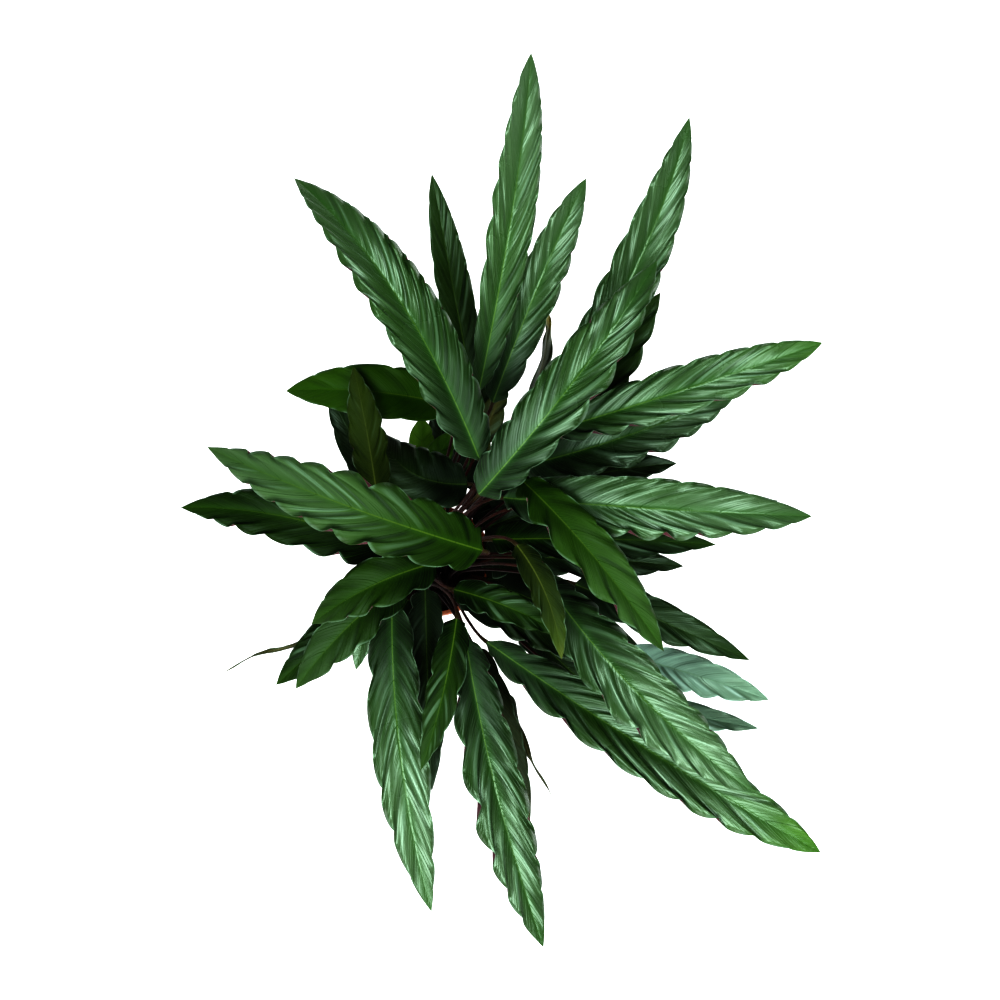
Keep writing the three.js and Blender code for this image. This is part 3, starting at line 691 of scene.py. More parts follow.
def values_of(leaf, climb, blade_place, stalk_row, rib_row):
    """The UV pair and the attributes for every vertex: stalk, blade, hairs on each."""
    t, from_rib, u, share, pleat = blade_place
    climb_back = climb - 1
    ring = t.shape[1]

    def whole(stalk, blade, stalk_hairs, rib_hairs):
        """One value for each vertex of the rings, and one for the four corners of a hair."""
        hairs = [stalk_hairs + np.zeros(STALK_HAIRS), rib_hairs + np.zeros(RIB_HAIRS)]
        rings = [np.repeat(stalk + np.zeros(len(climb)), ring), (blade + np.zeros(t.shape)).ravel()]
        return np.concatenate(rings + [np.repeat(np.concatenate(hairs), 4)])

    hair_climb = climb_back[1 + stalk_row]
    tip_light = leaf.tip_light * smooth_step((t - TIP_LIGHT_START) / (1 - TIP_LIGHT_START))
    # painted sheen, growing towards the tip in place of reflected light
    bloom = leaf.bloom * smooth_step((t - PAINTED_SHEEN_START) / (PAINTED_SHEEN_FULL - PAINTED_SHEEN_START))
    across = whole(0.5, 0.5 + 0.5 * u, 0.5, 0.5)
    waves = whole(climb_back, share * leaf.waves, hair_climb, 0)
    return np.stack([across, waves], -1), {
        "along": whole(climb_back, t, hair_climb, t[rib_row, 0]),
        "from_rib": whole(0, from_rib / MM, 0, 0),
        "light": whole(leaf.light, leaf.light + tip_light, leaf.light, leaf.light),
        "bloom": whole(0, bloom, 0, 0),
        "pleat": whole(0, pleat, 0, 0)}


def build_leaf(leaf):
    """Stalk rings and blade rings in one closed skin, with three material slots."""
    stalk, climb = stalk_rings(leaf)
    blade, blade_place = blade_rings(leaf)
    rings = np.concatenate([stalk, blade])
    rows, ring = rings.shape[:2]
    stalk_hairs, stalk_row = hairs_on(leaf, stalk[1:], np.arange(ring), STALK_HAIRS)
    under_rib = ring - 1 - COLUMNS // 2 + np.array([-1, 0, 1])
    rib_hairs, rib_row = hairs_on(leaf, blade[:-ROWS_A_WAVE], under_rib, RIB_HAIRS)
    hairs = np.concatenate([stalk_hairs, rib_hairs])
    points = np.concatenate([rings.reshape(-1, 3), hairs.reshape(-1, 3)])
    foot = list(range(ring))[::-1]
    tip = list(range((rows - 1) * ring, rows * ring))
    spikes = hair_faces(len(hairs), rows * ring).tolist()
    faces = grid_quads(rows, ring).reshape(-1, 4).tolist() + [foot, tip] + spikes
    piece = new_mesh(leaf.name + "_fine", points, faces)

    uv, attributes = values_of(leaf, climb, blade_place, stalk_row, rib_row)
    add_uv(piece.data, uv)
    for name, values in attributes.items():
        add_values(piece.data, name, values)

    slots = np.full((rows - 1, ring), LOWER)
    slots[:, :COLUMNS + 1] = UPPER
    slots[:, -1] = UPPER
    slots[:len(stalk) + 1] = STALK
    slots = np.concatenate([slots.ravel(), [STALK, UPPER], np.full(len(spikes), STALK)])
    piece.data.polygons.foreach_set("material_index", slots)
    return piece


leaf_pieces = {leaf.number: build_leaf(leaf) for leaf in leaves}
print("leaf faces:", sum(len(piece.data.polygons) for piece in leaf_pieces.values()))

# %% [markdown]
# ## Node helpers
# Materials are built from nodes. These helpers keep each recipe short: one adds a node with
# its settings, one links a value or another node's output into a socket, and a few common
# sums are written as functions.

# %% Node helpers
class Recipe:
    """A material with a short way to add and join its nodes."""

    def __init__(self, name):
        self.material = bpy.data.materials.new(name)
        self.material.use_nodes = True
        self.tree = self.material.node_tree
        self.shader = self.tree.nodes["Principled BSDF"]

    def put(self, socket, value):
        """A number, a colour, or the output of another node."""
        if isinstance(value, bpy.types.NodeSocket):
            self.tree.links.new(value, socket)
        else:
            socket.default_value = value

    def set(self, **values):
        """Inputs of the shader, by name, with _ for a space."""
        for name, value in values.items():
            self.put(self.shader.inputs[name.replace("_", " ")], value)

    def node(self, kind, inputs=(), **settings):
        node = self.tree.nodes.new(kind)
        for name, value in settings.items():
            setattr(node, name, value)
        for i, value in enumerate(inputs):
            if value is not None:
                self.put(node.inputs[i], value)
        return node

    def math(self, operation, *inputs):
        return self.node("ShaderNodeMath", inputs, operation=operation).outputs[0]

    def times(self, a, b):
        return self.math("MULTIPLY", a, b)

    def plus(self, a, b):
        return self.math("ADD", a, b)

    def minus(self, a, b):
        return self.math("SUBTRACT", a, b)

    def value(self, name):
        return self.node("ShaderNodeAttribute", attribute_name=name).outputs["Fac"]

    def ramp(self, x, low, high, start=0.0, end=1.0):
        """start below low, end above high, and a smooth step between them."""
        inputs = (x, low, high, start, end)
        node = self.node("ShaderNodeMapRange", inputs, interpolation_type="SMOOTHSTEP")
        return node.outputs[0]

    def mix(self, share, a, b):
        """Colour a where share is 0 and b where it is 1."""
        node = self.node("ShaderNodeMix", data_type="RGBA")
        for name, value in (("Factor_Float", share), ("A_Color", a), ("B_Color", b)):
            self.put(next(i for i in node.inputs if i.identifier == name), value)
        return next(o for o in node.outputs if o.identifier == "Result_Color")

    def noise(self, scale, detail=4.0, roughness=0.5):
        """Cloudy noise on the piece's own coordinates, about scale clouds to a metre."""
        node = self.node("ShaderNodeTexNoise")
        self.put(node.inputs["Vector"], self.node("ShaderNodeTexCoord").outputs["Object"])
        self.put(node.inputs["Scale"], scale)
        self.put(node.inputs["Detail"], detail)
        self.put(node.inputs["Roughness"], roughness)
        return node.outputs["Fac"]

    def bump(self, height, distance, strength=1.0, under=None):
        """Relief of a height pattern, the given distance deep, on top of another relief."""
        node = self.node("ShaderNodeBump")
        self.put(node.inputs["Height"], height)
        self.put(node.inputs["Distance"], distance)
        self.put(node.inputs["Strength"], strength)
        if under is not None:
            self.put(node.inputs["Normal"], under)
        return node.outputs["Normal"]


def rgb(red, green, blue):
    return (red, green, blue, 1.0)


print("a colour with its alpha:", rgb(0.1, 0.2, 0.3))

# %% [markdown]
# ## The veins
# The UV map counts waves along the blade, so a sine of that count draws lines that follow the
# same sweep as the folds. There are many fine side veins and a few strong ones.

# %% Vein pattern
FINE_VEINS_A_WAVE = 7
FINE_VEIN_WIDTH = 0.35
STRONG_VEINS_A_WAVE = 2
STRONG_VEIN_WIDTH = 0.12


def blade_map(recipe):
    """The place across, from 0 on the midrib to 0.5 at the margin, and the count of waves."""
    uv = recipe.node("ShaderNodeUVMap", uv_map="VeinMap").outputs[0]
    split = recipe.node("ShaderNodeSeparateXYZ", (uv,)).outputs
    return recipe.math("ABSOLUTE", recipe.minus(split[0], 0.5)), split[1]


def vein_lines(recipe, count, veins, width):
    """1 where |sin(pi x veins x count)| is 0, falling to 0 where it reaches the width."""
    wave = recipe.math("ABSOLUTE", recipe.math("SINE", recipe.times(count, math.pi * veins)))
    return recipe.ramp(wave, 0.0, width, 1.0, 0.0)


def fine_veins(recipe, count):
    return vein_lines(recipe, count, FINE_VEINS_A_WAVE, FINE_VEIN_WIDTH)


def strong_veins(recipe, count):
    return vein_lines(recipe, count, STRONG_VEINS_A_WAVE, STRONG_VEIN_WIDTH)


print("fine veins on the first leaf:", FINE_VEINS_A_WAVE * leaves[0].waves)

# %% [markdown]
# ## The upper face
# From the photograph: deep green, with painted shade near the base, a pale midrib, a pale
# painted sheen towards the tip that stands in for reflected light, and a satin gloss that breaks
# up into streaks. The crests of the pleats catch the light and their troughs stay dark, so a
# painted highlight follows the crests and painted shade the troughs: a real leaf has more and
# smaller folds than the mesh can hold. Right at the margin a painted highlight glints in broken
# stretches on the folded edge.

# %% Upper face patterns
PATCH_SCALE = 28.0
PATCH_CHANGE = 0.45
# Painted shade near each leaf's base, fading out along it.
PAINTED_BASE_SHADE = 0.42
BASE_END = 0.5
# Painted shade in the pleats' troughs and a painted highlight on their crests.
TROUGH_SHADE = 0.8
CREST_LIGHT = 0.6
# colour of the painted sheen
PAINTED_SHEEN_COLOUR = rgb(0.093, 0.152, 0.075)
CREST_HIGHLIGHT_COLOUR = rgb(0.138, 0.220, 0.138)
FINE_TINT = 0.3
STRONG_TINT = 0.5
RIB_GLOW = 0.35
RIB_GLOW_REACH = 7.0


def lightness(recipe, along, patches):
    """The leaf's lightness, with painted shade near the base, plus or minus the patches."""
    # painted shade near the base
    painted_base_shade = recipe.ramp(along, 0.0, BASE_END, PAINTED_BASE_SHADE, 0.0)
    change = recipe.times(recipe.minus(patches, 0.5), PATCH_CHANGE)
    return recipe.plus(recipe.minus(recipe.value("light"), painted_base_shade), change)


def pleated(recipe, colour, along, deep, crest_highlight_colour):
    """Painted shade in troughs, painted sheen over both, painted highlight on crests, less near
    base.
    """
    pleat = recipe.value("pleat")
    # painted highlight on the crests, little of it near the base
    crest = recipe.times(recipe.ramp(pleat, 0.2, 1.1), recipe.ramp(along, 0.0, 0.65, 0.05, 1.0))
    # painted shade in the troughs
    colour = recipe.mix(recipe.ramp(pleat, -0.9, 0.1, TROUGH_SHADE, 0.0), colour, deep)
    # painted sheen over troughs and crests, in place of reflected light
    colour = recipe.mix(recipe.value("bloom"), colour, PAINTED_SHEEN_COLOUR)
    return recipe.mix(recipe.times(crest, CREST_LIGHT), colour, crest_highlight_colour)


def veined(recipe, colour, fine, strong, from_rib, tint):
    """The tint on the fine veins, more of it on the strong ones, and some beside the midrib."""
    colour = recipe.mix(recipe.times(fine, FINE_TINT), colour, tint)
    colour = recipe.mix(recipe.times(strong, STRONG_TINT), colour, tint)
    return recipe.mix(recipe.ramp(from_rib, 0.3, RIB_GLOW_REACH, RIB_GLOW, 0.0), colour, tint)


def painted_margin_glints(recipe, across):
    """Painted highlight in stretches right at the margin, broken up by noise."""
    broken = recipe.ramp(recipe.noise(70.0, 2.0), 0.42, 0.58, 0.0, 0.7)
    return recipe.times(recipe.ramp(across, 0.465, 0.5), broken)


def rib_line(recipe, from_rib, along):
    """1 on the midrib, which gets thinner and fainter towards the tip."""
    half = recipe.ramp(along, 0.0, 1.0, 1.0, 0.3)
    line = recipe.ramp(recipe.math("DIVIDE", from_rib, half), 0.3, 0.9, 1.0, 0.0)
    return recipe.times(line, recipe.ramp(along, 0.1, 0.95, 0.8, 0.2))


print("share of the trough's shade:", TROUGH_SHADE, "and of the crest's light:", CREST_LIGHT)

# %% [markdown]
# The leaves differ: most are glossy, some show a matter face, the lower ones are duller in the
# shade, two are painted pale, a painted reflection of the sky, two are olive, and the old ones
# have turned brown with a yellow tip. One recipe makes them all from their own colours. The
# gloss is weaker near the base, as in the photograph, so each face is rougher there.

# %% Upper face materials
ROUGH_PATCHES = 0.12
ROUGH_BASE = 0.4
ROUGH_BASE_END = 0.45
GLOSS_TINT = rgb(0.75, 1.0, 0.76)


def upper_material(name, deep, fresh, pale, tint, rib, roughness, gloss=0.6,
                   crest=CREST_HIGHLIGHT_COLOUR):
    recipe = Recipe(name)
    across, count = blade_map(recipe)
    along, from_rib = recipe.value("along"), recipe.value("from_rib")
    fine, strong = fine_veins(recipe, count), strong_veins(recipe, count)
    patches = recipe.noise(PATCH_SCALE, 5.0)
    # lightness with painted shade near the base
    light = lightness(recipe, along, patches)
    colour = recipe.mix(recipe.ramp(light, 0.0, 1.15), deep, fresh)
    # painted shade in the troughs and a painted highlight on the crests
    colour = pleated(recipe, colour, along, deep, crest)
    colour = recipe.mix(recipe.ramp(light, 1.0, 2.2), colour, pale)
    colour = veined(recipe, colour, fine, strong, from_rib, tint)
    # painted highlight glinting along the margin
    colour = recipe.mix(painted_margin_glints(recipe, across), colour, crest)
    colour = recipe.mix(rib_line(recipe, from_rib, along), colour, rib)
    rough = recipe.plus(roughness, recipe.times(patches, ROUGH_PATCHES))
    rough = recipe.plus(rough, recipe.ramp(along, 0.0, ROUGH_BASE_END, ROUGH_BASE, 0.0))
    relief = recipe.bump(fine, 0.25 * MM, 0.55)
    relief = recipe.bump(strong, 0.4 * MM, 0.5, under=relief)
    relief = recipe.bump(recipe.noise(900.0, 2.0), 0.06 * MM, 0.5, under=relief)
    recipe.set(Base_Color=colour, Roughness=rough, Normal=relief)
    recipe.set(Specular_IOR_Level=gloss, Specular_Tint=GLOSS_TINT)
    return recipe.material


leaf_upper = upper_material(
    "leaf_upper", deep=rgb(0.0045, 0.0120, 0.0010), fresh=rgb(0.032, 0.088, 0.0050),
    pale=rgb(0.12, 0.28, 0.02), tint=rgb(0.034, 0.11, 0.014), rib=rgb(0.08, 0.15, 0.02),
    roughness=0.20, gloss=0.75)
matte_upper = upper_material(
    "leaf_upper_matte", deep=rgb(0.0030, 0.0080, 0.0006), fresh=rgb(0.028, 0.070, 0.0012),
    pale=rgb(0.10, 0.20, 0.02), tint=rgb(0.030, 0.08, 0.006), rib=rgb(0.07, 0.12, 0.015),
    roughness=0.42, gloss=0.18)
shade_upper = upper_material(
    "leaf_upper_shade", deep=rgb(0.0060, 0.0130, 0.0035), fresh=rgb(0.050, 0.110, 0.018),
    pale=rgb(0.10, 0.20, 0.04), tint=rgb(0.030, 0.065, 0.012), rib=rgb(0.06, 0.11, 0.02),
    roughness=0.28, gloss=0.5)
# Painted reflection: two leaves are painted pale for the sky they reflect.
painted_sky_upper = upper_material(
    "leaf_upper_painted_sky", deep=rgb(0.035, 0.055, 0.040), fresh=rgb(0.36, 0.58, 0.45),
    pale=rgb(0.50, 0.70, 0.55), tint=rgb(0.14, 0.24, 0.16), rib=rgb(0.20, 0.34, 0.20),
    roughness=0.24, crest=rgb(0.55, 0.78, 0.66))
olive_upper = upper_material(
    "leaf_upper_olive", deep=rgb(0.006, 0.010, 0.0010), fresh=rgb(0.038, 0.060, 0.004),
    pale=rgb(0.30, 0.30, 0.08), tint=rgb(0.045, 0.065, 0.008), rib=rgb(0.08, 0.10, 0.02),
    roughness=0.45, gloss=0.2)
old_upper = upper_material(
    "old_leaf_upper", deep=rgb(0.012, 0.015, 0.003), fresh=rgb(0.055, 0.065, 0.008),
    pale=rgb(0.45, 0.38, 0.03), tint=rgb(0.10, 0.08, 0.02), rib=rgb(0.16, 0.13, 0.03),
    roughness=0.5)
print("nodes in the glossy face:", len(leaf_upper.node_tree.nodes))

# %% [markdown]
# ## The lower face and the stalk
# The underside is maroon and covered in short hairs, so it looks like velvet: rough, with a
# soft glow at grazing angles, which the sheen layer gives. The stalks are reddish brown, and
# greener towards the collar.

# %% Lower face and stalk materials
def lower_material(name, dark, bright, rib):
    recipe = Recipe(name)
    _, count = blade_map(recipe)
    fine = fine_veins(recipe, count)
    patches = recipe.noise(40.0, 4.0)
    colour = recipe.mix(recipe.ramp(patches, 0.3, 0.75), dark, bright)
    colour = recipe.mix(recipe.times(fine, 0.35), colour, bright)
    colour = recipe.mix(recipe.ramp(recipe.value("from_rib"), 0.6, 1.8, 1.0, 0.0), colour, rib)
    relief = recipe.bump(fine, 0.3 * MM, 0.6)
    relief = recipe.bump(recipe.noise(1600.0, 2.0), 0.12 * MM, 0.8, under=relief)
    recipe.set(Base_Color=colour, Roughness=0.75, Normal=relief)
    recipe.set(Sheen_Weight=0.5, Sheen_Roughness=0.35, Sheen_Tint=rgb(0.9, 0.6, 0.6))
    return recipe.material


def stalk_material():
    recipe = Recipe("stalk")
    along = recipe.value("along")
    red, brown = rgb(0.046, 0.013, 0.007), rgb(0.014, 0.005, 0.004)
    colour = recipe.mix(recipe.ramp(along, -1.0, -0.05), brown, red)
    green = recipe.times(recipe.ramp(along, -0.15, 0.0), 0.6)
    colour = recipe.mix(green, colour, rgb(0.030, 0.036, 0.010))
    flecks = recipe.times(recipe.ramp(recipe.noise(120.0, 4.0), 0.45, 0.8), 0.6)
    colour = recipe.mix(flecks, colour, rgb(0.007, 0.003, 0.0025))
    relief = recipe.bump(recipe.noise(2200.0, 2.0), 0.15 * MM, 0.8)
    recipe.set(Base_Color=colour, Roughness=0.6, Normal=relief)
    recipe.set(Specular_IOR_Level=0.2, Sheen_Weight=0.02, Sheen_Roughness=0.4)
    return recipe.material


leaf_lower = lower_material("leaf_lower", rgb(0.030, 0.005, 0.008), rgb(0.08, 0.014, 0.020),
                            rgb(0.12, 0.03, 0.03))
old_lower = lower_material("old_leaf_lower", rgb(0.05, 0.03, 0.014), rgb(0.10, 0.06, 0.024),
                           rgb(0.14, 0.09, 0.04))
stalk_skin = stalk_material()
print("nodes in the lower face:", len(leaf_lower.node_tree.nodes))

# %% [markdown]
# Each leaf gets its upper finish by its number, and the same maroon underside. An old leaf is
# brown below, and the barest ones look the same on both faces. Then every leaf takes the place
# of its solid.

# %% Leaf finishes
MATTE = {14, 15, 24, 27, 31, 32, 33, 36, 37, 38, 42, 43}
OLIVE = {23, 39}
# leaves painted pale, a painted reflection of the sky
PAINTED_SKY = {19, 20}
SHADE = {2, 8, 11, 13, 16, 17, 18, 25, 40, 41, 44, *range(FIRST_LOW_LEAF, 59)}
BARE_LEAVES = {5, 30, 34}
GROUPS = ((MATTE, matte_upper), (OLIVE, olive_upper), (SHADE, shade_upper), (PAINTED_SKY, painted_sky_upper))


def finish_of(leaf):
    """The upper and lower finish of a leaf."""
    if leaf.old:
        return old_upper, old_upper if leaf.number in BARE_LEAVES else old_lower
    uppers = [upper for group, upper in GROUPS if leaf.number in group]
    return (uppers + [leaf_upper])[0], leaf_lower


for leaf in leaves:
    piece = leaf_pieces[leaf.number]
    for material in (*finish_of(leaf), stalk_skin):
        piece.data.materials.append(material)
    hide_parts(leaf.name)
    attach(piece, "root")
glossy = [leaf.number for leaf in leaves if finish_of(leaf)[0] == leaf_upper]
print("glossy leaves:", glossy)

# %% [markdown]
# ## The pot
# A nursery pot is moulded from thin plastic: a tapered wall, a rolled rim and slots round the
# foot for water to drain. A round thing is a profile turned about an axis.

# %% Pot shape
POT_SIDES = 144
RIM_ROUND = 0.9 * MM


def wall_radius(height):
    """The wall's outer radius, growing evenly from the foot to under the rim."""
    share = np.minimum(height / (POT_HEIGHT - RIM_DEPTH), 1)
    return POT_BASE_RADIUS + (POT_TOP_RADIUS - POT_BASE_RADIUS) * share


def turned(name, profile, sides):
    """A closed skin from a profile of (radius, height) pairs that starts and ends on the axis."""
    profile = np.asarray(profile)
    angle = np.linspace(0, 2 * np.pi, sides, endpoint=False)
    inner = profile[1:-1]
    x = inner[:, 0:1] * np.cos(angle)
    y = inner[:, 0:1] * np.sin(angle)
    points = np.stack([x, y, inner[:, 1:2] + 0 * x], -1).reshape(-1, 3)
    ends = np.array([[0, 0, profile[0, 1]], [0, 0, profile[-1, 1]]])
    faces = grid_quads(len(inner), sides).reshape(-1, 4).tolist()
    here = np.arange(sides)
    after = (here + 1) % sides
    first = np.full(sides, len(points))
    top = (len(inner) - 1) * sides
    faces += np.stack([after, here, first], -1).tolist()
    faces += np.stack([top + here, top + after, first + 1], -1).tolist()
    return new_mesh(name, np.concatenate([points, ends]), faces)


def pot_profile():
    """From the middle underneath, out and up the wall, over the rim, down inside."""
    foot = POT_HEIGHT - RIM_DEPTH
    rim = POT_TOP_RADIUS + RIM_REACH
    inner = POT_TOP_RADIUS - POT_WALL
    turn = np.radians(np.linspace(0, 90, 6))
    r = RIM_ROUND
    wall = [(wall_radius(z), z) for z in np.linspace(r, foot, 24)]
    outer_round = [(rim - r + r * math.cos(a), POT_HEIGHT - r + r * math.sin(a)) for a in turn]
    lip_round = [(rim - r + r * math.sin(a), foot + r - r * math.cos(a)) for a in turn]
    inner_round = [(inner + r - r * math.sin(a), POT_HEIGHT - r + r * math.cos(a)) for a in turn]
    inside = [(wall_radius(z) - POT_WALL, z) for z in np.linspace(foot, POT_FLOOR, 24)]
    middle = POT_BASE_RADIUS / 2
    return [(0, 0), (middle, 0), (POT_BASE_RADIUS - r, 0), *wall, *lip_round, *outer_round,
            *inner_round, *inside, (middle, POT_FLOOR), (0, POT_FLOOR)]


pot = turned("nursery_pot", pot_profile(), POT_SIDES)
print("points of the turned pot:", len(pot.data.vertices))

# %% [markdown]
# The drain slots could be rows of the profile, but they break its symmetry. They are few, so
# blocks are taken out of the foot with a Boolean.

# %% Drain slots
DRAIN_SLOTS = 8
DRAIN_WIDTH = 10 * MM
DRAIN_HEIGHT = 6 * MM
DRAIN_REACH = 7 * MM


def cut_drain_slots(piece):
    """Blocks round the foot, taken out of the wall by an applied Boolean."""
    corner = np.array([[x, y, z] for x in (-1, 1) for y in (-1, 1) for z in (-1, 1)])
    size = np.array([DRAIN_REACH, DRAIN_WIDTH / 2, DRAIN_HEIGHT])
    faces = [(0, 1, 3, 2), (4, 6, 7, 5), (0, 4, 5, 1), (2, 3, 7, 6), (0, 2, 6, 4), (1, 5, 7, 3)]
    blocks, corners = [], []
    for slot in range(DRAIN_SLOTS):
        angle = 2 * math.pi * (slot + 0.5) / DRAIN_SLOTS
        turn = np.array([[math.cos(angle), math.sin(angle), 0],
                         [-math.sin(angle), math.cos(angle), 0], [0, 0, 1]])
        corners.append((corner * size + [POT_BASE_RADIUS, 0, 0]) @ turn)
        blocks += [tuple(8 * slot + i for i in face) for face in faces]
    cutter = new_mesh("cutter", np.concatenate(corners), blocks, smooth=False)
    cut = piece.modifiers.new("slots", "BOOLEAN")
    cut.operation = "DIFFERENCE"
    cut.solver = "EXACT"
    cut.object = cutter
    graph = bpy.context.evaluated_depsgraph_get()
    piece.data = bpy.data.meshes.new_from_object(piece.evaluated_get(graph))
    piece.modifiers.clear()
    bpy.data.objects.remove(cutter)


cut_drain_slots(pot)
print("points of the pot with its slots:", len(pot.data.vertices))

# %% [markdown]
# Moulded plastic is nearly even, but a used pot isn't: it is scuffed, has fine rings from the
# mould, a little dust of soil on the rim and pale lime where water has dried.

# %% Pot material
MOULD_RING = 1.6 * MM
LIME_HEIGHT = 20 * MM
DUST_START = 100 * MM


def pot_material():
    recipe = Recipe("pot_plastic")
    place = recipe.node("ShaderNodeTexCoord").outputs["Object"]
    height = recipe.node("ShaderNodeSeparateXYZ", (place,)).outputs[2]
    clouds = recipe.noise(22.0, 5.0)
    colour = recipe.mix(clouds, rgb(0.44, 0.135, 0.055), rgb(0.56, 0.20, 0.085))
    specks = recipe.times(recipe.ramp(recipe.noise(420.0, 3.0), 0.62, 0.72), 0.35)
    colour = recipe.mix(specks, colour, rgb(0.30, 0.09, 0.04))
    lime = recipe.times(recipe.ramp(recipe.noise(60.0, 6.0), 0.55, 0.75),
                        recipe.ramp(height, LIME_HEIGHT, 0.0, 0.0, 0.45))
    colour = recipe.mix(lime, colour, rgb(0.62, 0.48, 0.38))
    dust = recipe.times(recipe.ramp(recipe.noise(150.0, 6.0), 0.5, 0.65),
                        recipe.ramp(height, DUST_START, POT_HEIGHT + MM, 0.0, 0.5))
    colour = recipe.mix(dust, colour, rgb(0.09, 0.055, 0.035))
    rough = recipe.plus(0.42, recipe.times(clouds, 0.2))
    rings = recipe.math("SINE", recipe.times(height, 2 * math.pi / MOULD_RING))
    relief = recipe.bump(rings, 0.04 * MM, 0.5)
    relief = recipe.bump(recipe.noise(700.0, 3.0), 0.08 * MM, 0.5, under=relief)
    recipe.set(Base_Color=colour, Roughness=rough, Normal=relief)
    return recipe.material


pot.data.materials.clear()
pot.data.materials.append(pot_material())
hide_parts("pot")
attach(pot, "root")
print("nodes in the pot's plastic:", len(pot.data.materials[0].node_tree.nodes))

# %% [markdown]
# ## The soil
# Potting soil is dark, loose and lumpy, with a few pale grains of perlite. Its body is a turned
# shape whose top is roughened by summed waves.

# %% Soil shape
SOIL_SIDES = 120
SOIL_WAVES = (18, 11, 7, 4.5, 3)
WAVES_OF_EACH = 3
WAVE_STEEPNESS = 0.035
LUMP_LIMIT = 1.5 * MM


def soil_edge(height):
    """The soil's radius at a height: the pot's inner wall less the gap between them."""
    return wall_radius(height) - POT_WALL - FIT_GAP


def soil_profile():
    """From the middle underneath, out along the floor, up the wall, in over the top."""
    low, high = POT_FLOOR + FIT_GAP, SOIL_TOP - SOIL_CROWN
    side = [(soil_edge(z), z) for z in np.linspace(low, high, 12)]
    top = [(r, soil_height(r)) for r in np.linspace(soil_edge(high), 2 * MM, 40)[1:]]
    return [(0, low), (soil_edge(low) * 0.6, low), *side, *top, (0, SOIL_TOP)]


def roughen_top(piece):
    """Each point on top moves by a sum of sines of its place, with seeded directions."""
    mesh = piece.data
    points = np.zeros(len(mesh.vertices) * 3)
    mesh.vertices.foreach_get("co", points)
    points = points.reshape(-1, 3)
    draw = np.random.default_rng(7)
    lumps = np.zeros(len(points))
    for wave_length in SOIL_WAVES * WAVES_OF_EACH:
        heading = draw.random() * 2 * np.pi
        across = points[:, 0] * math.cos(heading) + points[:, 1] * math.sin(heading)
        turns = across / (wave_length * MM) + draw.random()
        lumps += wave_length * WAVE_STEEPNESS * MM * np.sin(2 * np.pi * turns)
    on_top = points[:, 2] > SOIL_TOP - SOIL_CROWN - MM
    on_top &= np.hypot(points[:, 0], points[:, 1]) < POT_TOP_RADIUS - 3 * MM
    points[:, 2] += np.where(on_top, np.clip(lumps, -LUMP_LIMIT, LUMP_LIMIT), 0)
    mesh.vertices.foreach_set("co", points.ravel())
    mesh.update()


soil = turned("potting_soil", soil_profile(), SOIL_SIDES)
roughen_top(soil)
print("soil faces:", len(soil.data.polygons))

# %% [markdown]
# Crumbs and perlite are small twenty-sided lumps with jittered corners. A seeded draw scatters
# them over the soil, most of them small, and those that would touch a stalk are left out.

# %% Crumbs and perlite
CRUMBS = 900
PERLITE = 70
CRUMB_SIZES = (0.7 * MM, 2.4 * MM)
PERLITE_SIZES = (0.6 * MM, 1.8 * MM)
MOSTLY_SMALL = 2.5
STALK_CLEARANCE = 4.2 * MM
SCATTER_RADIUS = POT_TOP_RADIUS - 8 * MM
LUMP_JITTER = 0.35
SUNK = 0.4


def lump_shape():
    """The twelve corners and twenty faces of an icosahedron of radius 1."""
    golden = (1 + 5 ** 0.5) / 2
    corner = [(0, a, b * golden) for a in (-1, 1) for b in (-1, 1)]
    corner += [(a, b * golden, 0) for a in (-1, 1) for b in (-1, 1)]
    corner += [(b * golden, 0, a) for a in (-1, 1) for b in (-1, 1)]
    corner = unit(np.array(corner, float))
    gap = np.linalg.norm(corner[:, None] - corner[None], axis=-1)
    near = (gap > 0) & (gap < 1.2)
    faces = [(i, j, k) for i in range(12) for j in range(i) for k in range(j)
             if near[i, j] and near[j, k] and near[i, k]]
    outward = [np.dot(np.cross(corner[j] - corner[i], corner[k] - corner[i]), corner[i]) > 0
               for i, j, k in faces]
    return corner, np.array([f if ok else f[::-1] for f, ok in zip(faces, outward)])


def scatter_lumps(name, count, sizes, seed, flatness=0.7):
    """Copies of the lump, each turned, stretched and jittered, lying on the soil."""
    draw = np.random.default_rng(seed)
    radius = SCATTER_RADIUS * np.sqrt(draw.random(count * 2))
    angle = 2 * np.pi * draw.random(count * 2)
    place = np.stack([radius * np.cos(angle), radius * np.sin(angle)], -1)
    roots = np.array([leaf.root[:2] for leaf in leaves])
    clear = np.linalg.norm(place[:, None] - roots[None], axis=-1).min(1) > STALK_CLEARANCE
    place = place[clear][:count]
    count = len(place)
    corner, faces = lump_shape()
    size = sizes[0] + (sizes[1] - sizes[0]) * draw.random(count) ** MOSTLY_SMALL
    spin = 2 * np.pi * draw.random(count)
    jitter = 1 + LUMP_JITTER * (draw.random((count, 12)) - 0.5)
    stretch = np.array([1.0, 1.0, flatness]) * (0.75 + 0.5 * draw.random((count, 3)))
    lumps = corner[None] * jitter[..., None] * stretch[:, None]
    x = lumps[..., 0] * np.cos(spin)[:, None] - lumps[..., 1] * np.sin(spin)[:, None]
    y = lumps[..., 0] * np.sin(spin)[:, None] + lumps[..., 1] * np.cos(spin)[:, None]
    lumps = np.stack([x, y, lumps[..., 2]], -1) * size[:, None, None]
    ground = soil_height(np.linalg.norm(place, axis=-1)) + SUNK * size
    lumps += np.concatenate([place, ground[:, None]], -1)[:, None]
    numbers = faces[None] + 12 * np.arange(count)[:, None, None]
    return new_mesh(name, lumps, numbers.reshape(-1, 3).tolist(), smooth=False)


